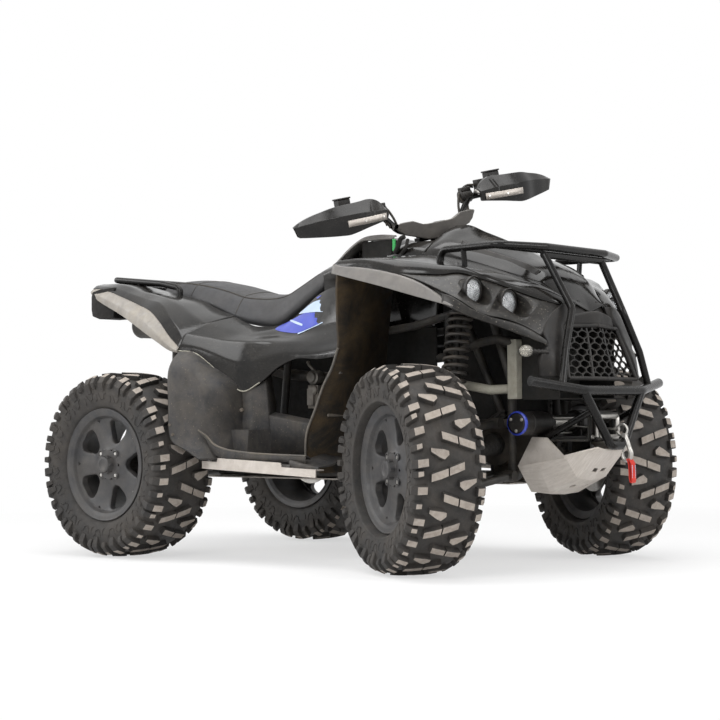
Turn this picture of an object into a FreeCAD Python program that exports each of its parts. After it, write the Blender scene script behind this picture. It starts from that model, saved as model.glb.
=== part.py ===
import math
import os

import FreeCAD
import Part
import Sketcher
from FreeCAD import Placement, Rotation, Vector

doc = FreeCAD.newDocument("QuadBike")
sheet = doc.addObject("Spreadsheet::Sheet", "Sizes")

# Frame: X forward, Y to the rider's left, Z up, origin on the ground at mid length on the centre plane.
# Millimetres, angles in degrees.
sizes = {
    "wheelbase": 1331,
    "frontAxle": 637.5,
    "wheelRadius": 330,
    "axleHeight": 330,
    "frontTrackHalf": 500,
    "rearTrackHalf": 507,
    "kingpinInset": 85,
    "barTurn": -30,
    "steerRatio": 0.88,
    "columnRake": 25,
    "columnTopX": 302,
    "columnTopZ": 1150,
    "columnFootZ": 500,
    "frontTyreWidth": 229,
    "rearTyreWidth": 266,
    "lugHeight": 17,
    "rimSeatRadius": 177,
    "rimFlangeRadius": 199,
    "rimWall": 7,
    "frontRimHalf": 81,
    "rearRimHalf": 115,
    "spokeSetback": 28,
    "spokeThickness": 25,
    "windowInner": 78,
    "windowOuter": 158,
    "studCircle": 110,
    "studHole": 7,
    "hubRadius": 38,
    "hubInset": 50,
    "discRadius": 105,
    "discThickness": 5,
    "seatGap": 0.3,
    "pinRadius": 8,
    "pinClearance": 0.05,
    "upperJointRise": 85,
    "lowerJointDrop": 75,
    "jointEyeHeight": 24,
    "jointEyeRadius": 18,
    "armTube": 13,
    "frameTube": 14,
    "frameHalf": 125,
    "railHeight": 292,
    "diffHeight": 400,
    "diffRadius": 70,
    "shaftRadius": 12,
    "bootRadius": 38,
    "ballRadius": 28,
    "springRadius": 42,
    "springWire": 5.5,
    "springPitch": 26,
    "damperRadius": 20,
    "rodRadius": 8,
    "knuckleArm": 107,
    "knuckleRing": 22,
    "upperPivotZ": 470,
    "bushRadius": 18,
    "crossTube": 12,
    "columnRadius": 14,
    "frontTowerZ": 868.3,
    "rearTowerZ": 806.3,
    "bellyTop": 277.7,
    "pitmanArm": 95,
    "pitmanHalf": 35,
    "barRadius": 11,
    "barHalf": 395,
    "barGripZ": 1232,
    "gripRadius": 17,
    "guardTip": 505,
    "panelWall": 5,
    "plateWall": 5,
    "rackTube": 12,
    "rackFrontX": 905,
    "rackHalf": 345,
    "rackRise": 18,
    "rearRackHalf": 205,
    "rearRackEnd": -1101,
    "rearRackRise": 22,
    "bumperTube": 16,
    "uprightTube": 12,
    "bumperCornerX": 1040,
    "bumperCornerHalf": 168,
    "bumperCornerZ": 572,
    "bumperEndX": 982,
    "bumperEndHalf": 373,
    "bumperEndZ": 600,
    "hitchBore": 10,
    "hitchPlate": 12,
    "winchRadius": 38,
    "winchX": 835,
    "winchZ": 470,
    "lampOuterRadius": 37,
    "lampInnerRadius": 33,
}
for row, (name, value) in enumerate(sizes.items(), 1):
    sheet.set(f"A{row}", name)
    sheet.set(f"B{row}", str(value))
    sheet.setAlias(f"B{row}", name)
doc.recompute()


class Dim(float):
    # a length together with the sheet expression that gives it
    def __new__(cls, value, expression):
        self = float.__new__(cls, value)
        self.expression = expression
        return self

    def __add__(self, other):
        return Dim(float(self) + float(other), f"({text(self)} + {text(other)})")

    def __radd__(self, other):
        return Dim(float(other) + float(self), f"({text(other)} + {text(self)})")

    def __sub__(self, other):
        return Dim(float(self) - float(other), f"({text(self)} - {text(other)})")

    def __rsub__(self, other):
        return Dim(float(other) - float(self), f"({text(other)} - {text(self)})")

    def __mul__(self, other):
        return Dim(float(self) * float(other), f"({text(self)} * {text(other)})")

    def __rmul__(self, other):
        return Dim(float(other) * float(self), f"({text(other)} * {text(self)})")

    def __truediv__(self, other):
        return Dim(float(self) / float(other), f"({text(self)} / {text(other)})")

    def __neg__(self):
        return Dim(-float(self), f"(-1 * {text(self)})")


def text(value):
    return value.expression if isinstance(value, Dim) else repr(float(value))


class Sizes:
    # each size of the sheet as an attribute
    def __getattr__(self, name):
        return Dim(float(sheet.get(name)), f"Sizes.{name}")


size = Sizes()
subparts = []
# the machine is drawn with its axles at axleHeight and lifted until the tyres stand on the ground
lift = size.wheelRadius - size.axleHeight


def bind(obj, **values):
    for name, value in values.items():
        obj.setExpression(name.replace("_", "."), text(value))
    return obj


def keep(obj, label, lifted=True):
    obj.Label = label
    if lifted:
        obj.Placement = Placement(Vector(0, 0, float(lift)), Rotation()) * obj.Placement
    subparts.append(obj)
    return obj


def vec(point):
    return Vector(*[float(c) for c in point])


# Basic solids

def block(name, low, high):
    obj = doc.addObject("Part::Box", name)
    bind(obj, Length=high[0] - low[0], Width=high[1] - low[1], Height=high[2] - low[2])
    return bind(obj, Placement_Base_x=low[0], Placement_Base_y=low[1], Placement_Base_z=low[2] + lift)


def rod(name, start, end, radius):
    obj = doc.addObject("Part::Cylinder", name)
    span = vec(end) - vec(start)
    bind(obj, Radius=radius, Height=span.Length)
    obj.Placement = Placement(vec(start), Rotation(Vector(0, 0, 1), span))
    return obj


def fused(name, parts):
    obj = doc.addObject("Part::MultiFuse", name)
    obj.Shapes = parts
    return obj


def cut(name, base, tool):
    obj = doc.addObject("Part::Cut", name)
    obj.Base = base
    obj.Tool = tool
    return obj


def feature(name, shape, place=None):
    obj = doc.addObject("Part::Feature", name)
    obj.Shape = shape
    if place is not None:
        obj.Placement = place
    return obj


# Sketch based solids

def outlineSketch(body, name, role, points, offset=0):
    plane = next(item for item in body.Origin.OriginFeatures if item.Role == role)
    sketch = body.newObject("Sketcher::SketchObject", name)
    sketch.AttachmentSupport = (plane, [""])
    sketch.MapMode = "FlatFace"
    sketch.setExpression("AttachmentOffset.Base.z", text(offset))
    corners = [Vector(float(u), float(v), 0) for u, v in points]
    count = len(corners)
    for index, corner in enumerate(corners):
        sketch.addGeometry(Part.LineSegment(corner, corners[(index + 1) % count]), False)
    for index, (u, v) in enumerate(points):
        sketch.addConstraint(Sketch.joint(index, (index + 1) % count))
    for index, (u, v) in enumerate(points):
        for kind, value in (("DistanceX", u), ("DistanceY", v)):
            number = sketch.addConstraint(Sketch.place(kind, index, value))
            if isinstance(value, Dim):
                sketch.setExpression(f"Constraints[{number}]", text(value))
    return sketch


class Sketch:
    # the two kinds of constraint that an outline's corners need
    @staticmethod
    def joint(line, following):
        return Sketcher.Constraint("Coincident", line, 2, following, 1)

    @staticmethod
    def place(kind, line, value):
        return Sketcher.Constraint(kind, -1, 1, line, 1, float(value))


def revolved(name, role, points):
    body = doc.addObject("PartDesign::Body", name)
    sketch = outlineSketch(body, name + "Outline", role, points)
    turn = body.newObject("PartDesign::Revolution", name + "Turn")
    turn.Profile = sketch
    turn.ReferenceAxis = (sketch, ["H_Axis"])
    turn.Angle = 360
    body.Tip = turn
    return body


# Free form solids

rearAxle = size.frontAxle - size.wheelbase
# the body's stations are drawn for a rear axle at -693.5; the stretch from the seat's front to the footwells' rear
# takes up any other wheelbase
rearShift = float(rearAxle) + 693.5
stretchFront, stretchBack = -110, -424


def lengthwise(point):
    x = float(point[0])
    share = min(max((stretchFront - x) / (stretchFront - stretchBack), 0), 1)
    return (x + share * rearShift, *point[1:])


def loop(points):
    corners = [vec(lengthwise(p)) for p in points]
    return Part.makePolygon(corners + [corners[0]])


def lofted(sections, ruled=True):
    return Part.makeLoft([loop(points) for points in sections], True, ruled)


def thick(line, wall):
    # the open line of (y, z) points, closed by its copy moved inwards by the wall
    inner = []
    for index, (y, z) in enumerate(line):
        before = line[max(index - 1, 0)]
        after = line[min(index + 1, len(line) - 1)]
        along = Vector(after[0] - before[0], after[1] - before[1], 0).normalize()
        inner.append((y - along.y * wall, z + along.x * wall))
    return list(line) + inner[::-1]


def across(line):
    # a right half line from the outer edge to the centre, continued over to the left
    return list(line) + [(-y, z) for y, z in reversed(line) if y != 0]


def shell(stations, wall, whole=True):
    # stations: distance forward and the right half's (y, z) line; closed panel between them
    sections = []
    for forward, line in stations:
        full = across(line) if whole else line
        sections.append([(forward, y, z) for y, z in thick(full, -wall)])
    return lofted(sections)


def solidAlong(stations):
    # stations: distance forward and the right half's (y, z) line, from the bottom centre to the top centre
    sections = []
    for forward, line in stations:
        left = [(-y, z) for y, z in reversed(line) if y != 0]
        sections.append([(forward, y, z) for y, z in list(line) + left])
    return lofted(sections)


def tubeShape(points, radius, bend=0):
    # a round tube along straight runs, with arcs of the bend radius at its corners
    corners = [vec(p) for p in points]
    edges = []
    last = corners[0]
    for before, corner, after in zip(corners, corners[1:], corners[2:]):
        into = (corner - before).normalize()
        out = (after - corner).normalize()
        turn = into.getAngle(out)
        if bend == 0 or turn < 0.01:
            edges.append(Part.LineSegment(last, corner).toShape())
            last = corner
            continue
        reach = float(bend) * math.tan(turn / 2)
        start = corner - into * reach
        end = corner + out * reach
        middle = (start + end) * 0.5
        inward = (middle - corner).normalize()
        centre = corner + inward * (float(bend) / math.cos(turn / 2))
        top = centre - inward * float(bend)
        edges.append(Part.LineSegment(last, start).toShape())
        edges.append(Part.Arc(start, top, end).toShape())
        last = end
    edges.append(Part.LineSegment(last, corners[-1]).toShape())
    path = Part.Wire(edges)
    direction = (corners[1] - corners[0]).normalize()
    ring = Part.Wire([Part.makeCircle(float(radius), corners[0], direction)])
    return path.makePipeShell([ring], True, False, 1 if bend == 0 else 0)


def tubeAlong(points, radius, bend=0):
    return tubeShape([lengthwise(p) for p in points], radius, bend)


def boxAlong(length, width, height, corner):
    # a box whose middle follows the stretch
    x, y, z = corner
    x = lengthwise((x + length / 2, y, z))[0] - length / 2
    return Part.makeBox(length, width, height, Vector(x, y, float(z)))


def mirrorShape(shape):
    return shape.mirror(Vector(0, 0, 0), Vector(0, 1, 0))


def union(shapes):
    return shapes[0].multiFuse(shapes[1:])


# Places that many pieces share

kingpinHalf = size.frontTrackHalf - size.kingpinInset
upperJointZ = size.axleHeight + size.upperJointRise
lowerJointZ = size.axleHeight - size.lowerJointDrop
wheelTurn = float(size.barTurn) * float(size.steerRatio)
rake = math.radians(size.columnRake)
columnAxis = Vector(-math.sin(rake), 0, math.cos(rake))
columnTop = vec((size.columnTopX, 0, size.columnTopZ))


def columnPoint(height):
    return columnTop + columnAxis * ((float(height) - columnTop.z) / columnAxis.z)


def steered(side):
    # the turn of a front wheel about its kingpin
    pin = vec((size.frontAxle, side * kingpinHalf, 0))
    return Placement(Vector(0, 0, 0), Rotation(Vector(0, 0, 1), wheelTurn), pin)


barPlace = Placement(Vector(0, 0, 0), Rotation(columnAxis, float(size.barTurn)), columnTop)


def wheelPlace(side, front):
    track = size.frontTrackHalf if front else size.rearTrackHalf
    centre = vec((size.frontAxle if front else rearAxle, side * track, size.wheelRadius))
    # the rim is drawn about X, outboard positive
    place = Placement(centre, Rotation(Vector(0, 0, 1), 90 * side))
    return steered(side) * place if front else place


wheelNames = {(-1, True): "front_right", (1, True): "front_left",
              (-1, False): "rear_right", (1, False): "rear_left"}


# Wheels

def makeRim(side, front):
    name = "rim_" + wheelNames[side, front]
    half = size.frontRimHalf if front else size.rearRimHalf
    face = half - size.spokeSetback
    back = face - size.spokeThickness
    barrel = size.rimSeatRadius - size.rimWall
    hub = size.hubRadius
    points = [(-size.hubInset, 0), (-size.hubInset, hub), (-size.hubInset + 14, hub),
              (-size.hubInset + 14, size.discRadius),
              (-size.hubInset + 14 + size.discThickness, size.discRadius),
              (-size.hubInset + 14 + size.discThickness, hub),
              (back, hub), (back, barrel), (-half, barrel), (-half, size.rimFlangeRadius),
              (-half + 8, size.rimFlangeRadius), (-half + 14, size.rimSeatRadius),
              (half - 14, size.rimSeatRadius), (half - 8, size.rimFlangeRadius),
              (half, size.rimFlangeRadius), (half - 18, barrel), (face, barrel - 6),
              (face, 62), (face + 6, 50), (face + 6, 30), (face + 32, 25), (face + 32, 0)]
    body = revolved(name, "XY_Plane", points)
    windows = outlineSketch(body, name + "Window", "YZ_Plane", windowOutline(), face + 40)
    pocket = body.newObject("PartDesign::Pocket", name + "Pocket")
    pocket.Profile = windows
    pocket.Type = "Length"
    bind(pocket, Length=size.spokeThickness + 60)
    body.Tip = pocket
    pattern = body.newObject("PartDesign::PolarPattern", name + "Windows")
    pattern.Originals = [pocket]
    pattern.Axis = (next(i for i in body.Origin.OriginFeatures if i.Role == "X_Axis"), [""])
    pattern.Angle = 360
    pattern.Occurrences = 5
    body.Tip = pattern
    body.Placement = wheelPlace(side, front)
    return keep(body, name, lifted=False)


def windowOutline():
    inner = size.windowInner
    outer = size.windowOuter
    return [(inner, 14), (inner + 30, 36), (outer - 25, 50), (outer - 8, 40),
            (outer, 14), (outer, -14), (outer - 8, -40), (outer - 25, -50),
            (inner + 30, -36), (inner, -14)]


def tyreShape(width, rimHalf):
    # columns of the carcass, every second one of each row raised into a lug and leaning with the row
    count = 36
    step = 2 * math.pi / count
    half = float(width) / 2
    tip = float(size.wheelRadius)
    crown = tip - float(size.lugHeight)
    seat = (float(size.rimSeatRadius) + float(size.seatGap)) / math.cos(step / 2)
    bead = min(float(rimHalf) - 16, half - 20)
    lean = step * 0.9
    # across the tyre from the outer bead over the tread to the inner bead: offset, radius, lean
    rows = [(-bead, seat, 0), (-bead - 6, seat + 24, 0), (-half + 4, crown - 75, 0), (-half, crown - 35, 0),
            (-half + 14, crown - 8, lean), (-6, crown, 0), (6, crown, 0), (half - 14, crown - 8, lean),
            (half, crown - 35, 0), (half - 4, crown - 75, 0), (bead + 6, seat + 24, 0), (bead, seat, 0)]

    def spot(row, column, rise=0):
        offset, radius, shift = rows[row]
        angle = column * step + shift
        return Vector(offset, (radius + rise) * math.cos(angle), (radius + rise) * math.sin(angle))

    faces = []

    def face(*corners):
        for second, third in zip(corners[1:], corners[2:]):
            faces.append(Part.Face(Part.makePolygon([corners[0], second, third, corners[0]])))

    lift = float(size.lugHeight)
    # which rows carry a lug and in which columns
    raised = {3: (0, lift), 4: (0, lift), 6: (1, lift), 7: (1, lift)}
    rise = lambda row, column: raised[row][1] if row in raised and column % 2 == raised[row][0] else 0
    for row in range(len(rows)):
        after = (row + 1) % len(rows)
        for column in range(count):
            up = rise(row, column)
            quad = [spot(row, column, 0), spot(row, column + 1, 0), spot(after, column + 1, 0), spot(after, column, 0)]
            if not up:
                face(*quad)
                continue
            ups = [lugTop(row, after, column, corner, spot, lift) for corner in range(4)]
            face(*ups)
            for corner in range(4):
                following = (corner + 1) % 4
                if not shared(row, column, corner, raised):
                    face(quad[corner], quad[following], ups[following], ups[corner])
    return faces


def lugTop(row, after, column, corner, spot, lift):
    # a lug's upper corners: full height over the tread, little over the shoulder's outer edge
    at = (row, row, after, after)[corner]
    turn = (column, column + 1, column + 1, column)[corner]
    edge = 0.35 if at in (3, 8) else 1
    return spot(at, turn, lift * edge + (8 if at in (4, 7) else 0))


def shared(row, column, corner, raised):
    # a wall between two raised cells of the same lug is left out
    neighbour = {0: row - 1, 2: row + 1}.get(corner)
    return neighbour in raised and raised[neighbour][0] == raised[row][0]


def makeTyre(side, front):
    name = "tyre_" + wheelNames[side, front]
    width = size.frontTyreWidth if front else size.rearTyreWidth
    faces = tyreShape(width, size.frontRimHalf if front else size.rearRimHalf)
    skin = Part.makeShell(faces)
    skin.sewShape()
    body = Part.makeSolid(skin)
    if body.Volume < 0:
        body.reverse()
    return keep(feature(name, body, wheelPlace(side, front)), name, lifted=False)


for side, front in wheelNames:
    makeRim(side, front)
    makeTyre(side, front)


# Steering

def makeKnuckle(side):
    # upright ring behind the hub, pins up and down on the kingpin axis, steering arm to the rear
    name = "knuckle_right" if side < 0 else "knuckle_left"
    ex = float(size.frontAxle)
    pinY = side * float(kingpinHalf)
    centre = float(size.axleHeight)
    hubEnd = side * float(size.frontTrackHalf - size.hubInset - size.seatGap)
    outward = Vector(0, side, 0)
    ringWidth = float(size.knuckleRing)
    ring = Part.makeCylinder(54, ringWidth, Vector(ex, hubEnd - side * ringWidth, centre), outward)
    bore = Part.makeCylinder(35, 40, Vector(ex, hubEnd - side * 30, centre), outward)
    parts = [ring.cut(bore)]
    pinRadius = float(size.pinRadius)
    reach = abs(hubEnd - side * 2 - pinY)
    for end, mark in ((float(upperJointZ), 1), (float(lowerJointZ), -1)):
        parts.append(Part.makeCylinder(16, 34, Vector(ex, pinY, end), Vector(0, 0, -mark)))
        parts.append(Part.makeCylinder(pinRadius, float(size.jointEyeHeight) + 8, Vector(ex, pinY, end - mark * 2),
                                       Vector(0, 0, mark)))
        low = min(centre + mark * 44, end - mark * 4)
        high = max(centre + mark * 44, end - mark * 4)
        parts.append(Part.makeBox(20, reach, high - low, Vector(ex - 10, min(pinY, hubEnd - side * 2), low)))
    armX = ex - float(size.knuckleArm)
    parts.append(tubeShape([(ex - 44, hubEnd - side * 11, centre + 12), (armX, pinY, centre + 28)], 10))
    parts.append(Part.makeCylinder(16, 24, Vector(armX, pinY, centre + 16)))
    parts.append(Part.makeCylinder(pinRadius, 32, Vector(armX, pinY, centre + 38)))
    return keep(feature(name, union(parts), steered(side)), name)


def makeTieRod(side):
    name = "tie_rod_right" if side < 0 else "tie_rod_left"
    outer = vec((size.frontAxle - size.knuckleArm, side * kingpinHalf, size.axleHeight + 53))
    foot = columnPoint(size.columnFootZ)
    back = Vector(-math.cos(rake), 0, -math.sin(rake))
    inner = foot + back * float(size.pitmanArm) + Vector(0, side * float(size.pitmanHalf), -34)
    pull = (inner - outer).normalize()
    eye = rod(name + "Eye", outer + Vector(0, 0, -12), outer + Vector(0, 0, 12), 15)
    bar = feature(name + "Bar", tubeShape([outer + pull * 12, inner - pull * 12], size.rodRadius))
    end = rod(name + "End", inner + Vector(0, 0, -10), inner + Vector(0, 0, 10), 14)
    bore = rod(name + "Bore", outer + Vector(0, 0, -20), outer + Vector(0, 0, 20),
               size.pinRadius + size.pinClearance)
    solid = cut(name, fused(name + "Solid", [eye, bar, end]), bore)
    # the rod keeps its direction while its outer end goes round with the knuckle
    moved = steered(side).multVec(outer) - outer
    solid.Placement = Placement(moved, Rotation())
    return keep(solid, name)


def barShape():
    clampZ = float(size.columnTopZ) + 32
    half = float(size.barHalf)
    grip = float(size.barGripZ)
    line = [(278, -half, grip), (292, -140, grip - 6), (306, -70, clampZ), (306, 70, clampZ),
            (292, 140, grip - 6), (278, half, grip)]
    parts = [tubeShape(line, size.barRadius, 45)]
    for side in (-1, 1):
        parts.append(tubeShape([(283, side * (half - 135), grip), (278, side * half, grip)], size.gripRadius))
        parts.append(tubeShape([(columnTop.x, side * 40, columnTop.z + 4), (306, side * 40, clampZ)], 16))
    parts.append(Part.makeBox(50, 120, 16, Vector(columnTop.x - 25, -60, columnTop.z - 6)))
    return union(parts)


def guardShape():
    tip = float(size.guardTip)
    sections = [(178, [(379, 1204), (382, 1233), (362, 1282), (345, 1282), (364, 1232), (364, 1206)]),
                (335, [(397, 1198), (399, 1230), (372, 1262), (352, 1262), (380, 1230), (380, 1202)]),
                (460, [(352, 1203), (355, 1240), (338, 1256), (322, 1256), (338, 1238), (338, 1207)]),
                (tip, [(316, 1215), (330, 1234), (318, 1239), (306, 1239), (316, 1232), (303, 1218)])]
    wing = lofted([[(x, y, z) for x, z in line] for y, line in sections])
    stay = tubeShape([(280, float(size.barHalf) - 20, size.barGripZ), (300, tip - 60, size.barGripZ),
                      (338, tip - 40, 1226)], 7)
    return union([wing, stay])


def controlShapes():
    # brake reservoirs and levers by each grip
    parts = []
    for side in (-1, 1):
        y = side * 225
        box = Part.makeBox(46, 40, 28, Vector(232, y - 20, 1284))
        perch = Part.makeBox(42, 26, 72, Vector(262, y - 13, 1214))
        lever = tubeShape([(300, y, 1250), (330, y + side * 20, 1250), (326, y + side * 150, 1243)], 6, 15)
        parts.append(union([box, perch, lever]))
    return parts


def makeBars():
    # everything that turns with the bars, drawn straight ahead and turned by their place
    bar = barShape()
    keep(feature("handlebar", bar, barPlace), "handlebar")
    half = guardShape()
    guards = [half.cut(bar), mirrorShape(half).cut(bar)]
    keep(feature("hand_guards", Part.makeCompound(guards), barPlace), "hand_guards")
    keep(feature("controls", Part.makeCompound([shape.cut(bar) for shape in controlShapes()]), barPlace), "controls")
    foot = columnPoint(size.columnFootZ)
    back = Vector(-math.cos(rake), 0, -math.sin(rake))
    width = float(size.pitmanHalf)
    arm = float(size.pitmanArm)
    corners = [foot + Vector(0, -24, 0), foot + back * arm + Vector(0, -width - 14, 0),
               foot + back * (arm + 14) + Vector(0, -width, 0), foot + back * (arm + 14) + Vector(0, width, 0),
               foot + back * arm + Vector(0, width + 14, 0), foot + Vector(0, 24, 0), foot - back * 24]
    plate = Part.Face(loop(corners)).extrude(columnAxis * 8)
    shaft = tubeShape([foot - columnAxis * 12, columnTop], size.columnRadius)
    column = union([shaft, plate]).cut(bar)
    keep(feature("steering_column", column, barPlace), "steering_column")
    sections = []
    for y, low, high, front, rear in ((-165, 1166, 1180, 345, 278), (-90, 1142, 1158, 368, 276), (0, 1138, 1152, 374, 275),
                                      (90, 1142, 1158, 368, 276), (165, 1166, 1180, 345, 278)):
        sections.append([(rear, y, low), (front, y, low - 6), (front, y, high - 6), (rear, y, high)])
    cover = lofted(sections).cut(bar).cut(column)
    cover = max(cover.Solids, key=lambda solid: solid.Volume)
    keep(feature("handlebar_cover", cover, barPlace), "handlebar_cover")


for side in (-1, 1):
    makeKnuckle(side)
    makeTieRod(side)
makeBars()


# Chassis

pivotHalf = size.frameHalf + size.frameTube + size.bushRadius + size.seatGap
boardBack, boardFront = -305, 224


def boardTop(forward):
    # height of the side boards' upper face, which drops towards the front
    return 345 - 23 * (forward - boardBack) / (boardFront - boardBack)


def ringAround(start, along, length, inner, outer):
    return Part.makeCylinder(outer, length, start, along).cut(Part.makeCylinder(inner, length, start, along))


def makeFrame():
    tube = size.frameTube
    half = size.frameHalf
    low = size.railHeight
    runs = [
        [(-850, -half, 320), (-560, -half, low + 5), (-300, -half, low), (480, -half, low), (752, -half, 300),
         (800, -95, 345), (900, -95, 385)],
        [(-850, -half, 320), (-846, -half, 620), (-826, -half - 13, 858)],
        [(640, -half, 870), (480, -half, 830), (330, -half, 800), (-250, -half, 740), (-520, -half, 780),
         (-990, -half - 20, 900)],
        [(-560, -half, low + 5), (-520, -half, 780)],
        [(-250, -half, 740), (-300, -half, low)],
        [(480, -half, low), (480, -half, 830)],
        [(735, -half, 302), (735, -half, 600), (640, -half, 870)],
        [(480, -half, size.upperPivotZ), (735, -half, size.upperPivotZ)],
        [(-546, -half, size.upperPivotZ), (-860, -half, size.upperPivotZ)],
        [(688, -half, 732), (749.7, -half, 725)]]
    sides = [tubeAlong(points, tube) for points in runs]
    sides += [mirrorShape(shape) for shape in sides]
    crossings = [(-560, low + 5), (-300, low), (480, low), (640, 870), (-250, 740), (-520, 780), (-940, 885),
                 (-864, 400), (510, 837), (749.7, 560), (749.7, 725)]
    shapes = sides + [tubeAlong([(forward, -half - 8, height), (forward, half + 8, height)], size.crossTube)
                      for forward, height in crossings]
    # collar for the column
    centre = columnPoint(837)
    bearing = float(size.columnRadius + size.seatGap)
    collar = ringAround(centre - columnAxis * 16, columnAxis, 32, bearing, bearing + 9)
    strap = Part.makeBox(44, 30, 8, Vector(centre.x + bearing + 3, -15, 829))
    shapes += [collar, strap.cut(Part.makeCylinder(bearing + 4, 80, centre - columnAxis * 40, columnAxis))]
    for side in (-1, 1):
        # shock towers and the outriggers under the side boards
        shapes.append(Part.makeBox(40, 180, 8, Vector(617.5, min(side * 110, side * 290), float(size.frontTowerZ))))
        shapes.append(boxAlong(40, 160, 8, (-652, min(side * 115, side * 275), size.rearTowerZ)))
        for forward in (-250, 60):
            height = boardTop(forward) - 13.6
            shapes.append(tubeAlong([(forward, side * half, low), (forward, side * 168, low),
                                     (forward, side * 225, height), (forward, side * 495, height)], 9))
    return union(shapes + winchMountShapes())


def winchMountShapes():
    # the winch's plate, its upright lip with the rope's window, and its two legs on the rails
    top = float(size.winchZ) - 52.3
    plate = Part.makeBox(205, 220, 6, Vector(795, -110, top - 6))
    wings = Part.makeBox(50, 299.4, 6, Vector(842, -149.7, top - 6))
    lip = Part.makeBox(6, 160, 96, Vector(994, -80, top - 6))
    window = Part.makeBox(20, 96, 46, Vector(988, -48, float(size.winchZ) - 36))
    legs = [Part.makeBox(70, 6, 60, Vector(820, y - 3, top - 64)) for y in (-95, 95)]
    return [plate, wings, lip.cut(window)] + legs


def armShapes(axle, spread, height, joint, jointZ):
    # one wishbone: two tubes from the pivots to the eye at the joint
    ex = float(axle)
    half = float(pivotHalf)
    shapes = []
    for sign in (-1, 1):
        shapes.append(tubeShape([(ex + sign * spread, -half - 4, height), (ex + sign * 6, joint, jointZ)], size.armTube))
        shapes.append(Part.makeCylinder(float(size.bushRadius), 40, Vector(ex + sign * spread - 20, -half, height),
                                        Vector(1, 0, 0)))
    return shapes


def makeFrontArms():
    pin = float(kingpinHalf)
    eyeHeight = float(size.jointEyeHeight)
    gap = float(size.seatGap)
    ex = float(size.frontAxle)
    joints = []
    for base, direction, pivotZ, spread in ((float(upperJointZ) + gap, 1, float(size.upperPivotZ), 55),
                                            (float(lowerJointZ) - gap, -1, 300, 110)):
        centre = base + direction * eyeHeight / 2
        shapes = armShapes(ex, spread, pivotZ, -pin, centre)
        shapes.append(Part.makeCylinder(float(size.jointEyeRadius), eyeHeight,
                                        Vector(ex, -pin, centre - eyeHeight / 2)))
        if direction > 0:
            shapes.append(Part.makeBox(52, 30, 26, Vector(ex - 26, -frontShockFoot[1] * -1 - 15, frontShockFoot[2] - 42)))
        solid = union(shapes)
        bore = Part.makeCylinder(float(size.pinRadius + size.pinClearance), eyeHeight + 20,
                                 Vector(ex, -pin, centre - eyeHeight / 2 - 10))
        room = Part.makeCylinder(30, 60, Vector(ex, -pin, base), Vector(0, 0, -direction))
        joints.append(solid.cut(bore).cut(room))
    return joints + [mirrorShape(shape) for shape in joints]


def makeRearArms():
    ex = float(rearAxle)
    hub = float(size.rearTrackHalf - size.hubInset - size.seatGap)
    centre = float(size.axleHeight)
    shapes = armShapes(ex, 110, 300, -hub + 30, 262) + armShapes(ex, 45, float(size.upperPivotZ), -hub + 30, 405)
    shapes.append(Part.makeCylinder(50, 46, Vector(ex, -hub, centre), Vector(0, 1, 0)))
    shapes.append(Part.makeBox(40, 24, 160, Vector(ex - 20, -hub + 18, 254)))
    shapes.append(Part.makeBox(46, 24, 16, Vector(rearShockFoot[0] - 33, rearShockFoot[1] - 12, rearShockFoot[2] - 32.3)))
    solid = union(shapes).cut(Part.makeCylinder(34, 80, Vector(ex, -hub - 10, centre), Vector(0, 1, 0)))
    return [solid, mirrorShape(solid)]


frontShockTop = (637.5, -262, float(size.frontTowerZ) - 16.3)
frontShockFoot = (637.5, -334, 474)
rearShockTop = lengthwise((-632, -250, float(size.rearTowerZ) - 16.3))
rearShockFoot = lengthwise((-632, -315, 308))


def coil(start, along, length):
    # the spring's wire as a loft of small pentagons round the damper
    radius = float(size.springRadius - size.springWire)
    wire = float(size.springWire)
    side = along.cross(Vector(1, 0, 0)).normalize()
    other = along.cross(side)
    count = 12
    turns = length / float(size.springPitch)
    sections = []
    for step in range(int(turns * count) + 1):
        angle = 2 * math.pi * step / count
        out = side * math.cos(angle) + other * math.sin(angle)
        centre = start + along * (length * step / (turns * count)) + out * radius
        sections.append([centre + out * (wire * math.cos(a)) + along * (wire * math.sin(a))
                         for a in (0.4 * math.pi * k for k in range(5))])
    wires = [Part.makePolygon(corners + [corners[0]]) for corners in sections]
    return Part.makeLoft(wires, True, True)


def shockShape(top, bottom, springStart):
    # an eye at each end, the rod, the damper's body, the spring and its two seats
    start = vec(bottom)
    run = vec(top) - start
    along = Vector(run).normalize()
    length = run.Length
    seat = 6
    low = length * springStart
    high = length * 0.92
    parts = [Part.makeCylinder(9, length, start, along),
             Part.makeCylinder(float(size.damperRadius), max(length * 0.3, low - 10), start + along * 24, along),
             Part.makeCylinder(float(size.springRadius) + 1, seat, start + along * low, along),
             Part.makeCylinder(float(size.springRadius) + 1, seat, start + along * (high - seat), along),
             coil(start + along * (low + 2), along, high - low - 4)]
    for end in (start, vec(top)):
        parts.append(Part.makeCylinder(16, 30, end - Vector(15, 0, 0), Vector(1, 0, 0)))
    return union(parts)


def makeShocks(top, foot, springStart):
    shape = shockShape(top, foot, springStart)
    return [shape, mirrorShape(shape)]


def bellows(start, along, length, wide, narrow):
    # a folded rubber boot: cones that widen and narrow in turn
    folds = 5
    step = length / folds
    cones = []
    for fold in range(folds):
        crest = wide + (narrow - wide) * fold / (folds - 1)
        for part, first, second in ((0, crest - 5, crest), (0.5, crest, crest - 5)):
            cones.append(Part.makeCone(first, second, step / 2, start + along * (step * (fold + part)), along))
    return union(cones)


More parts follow.
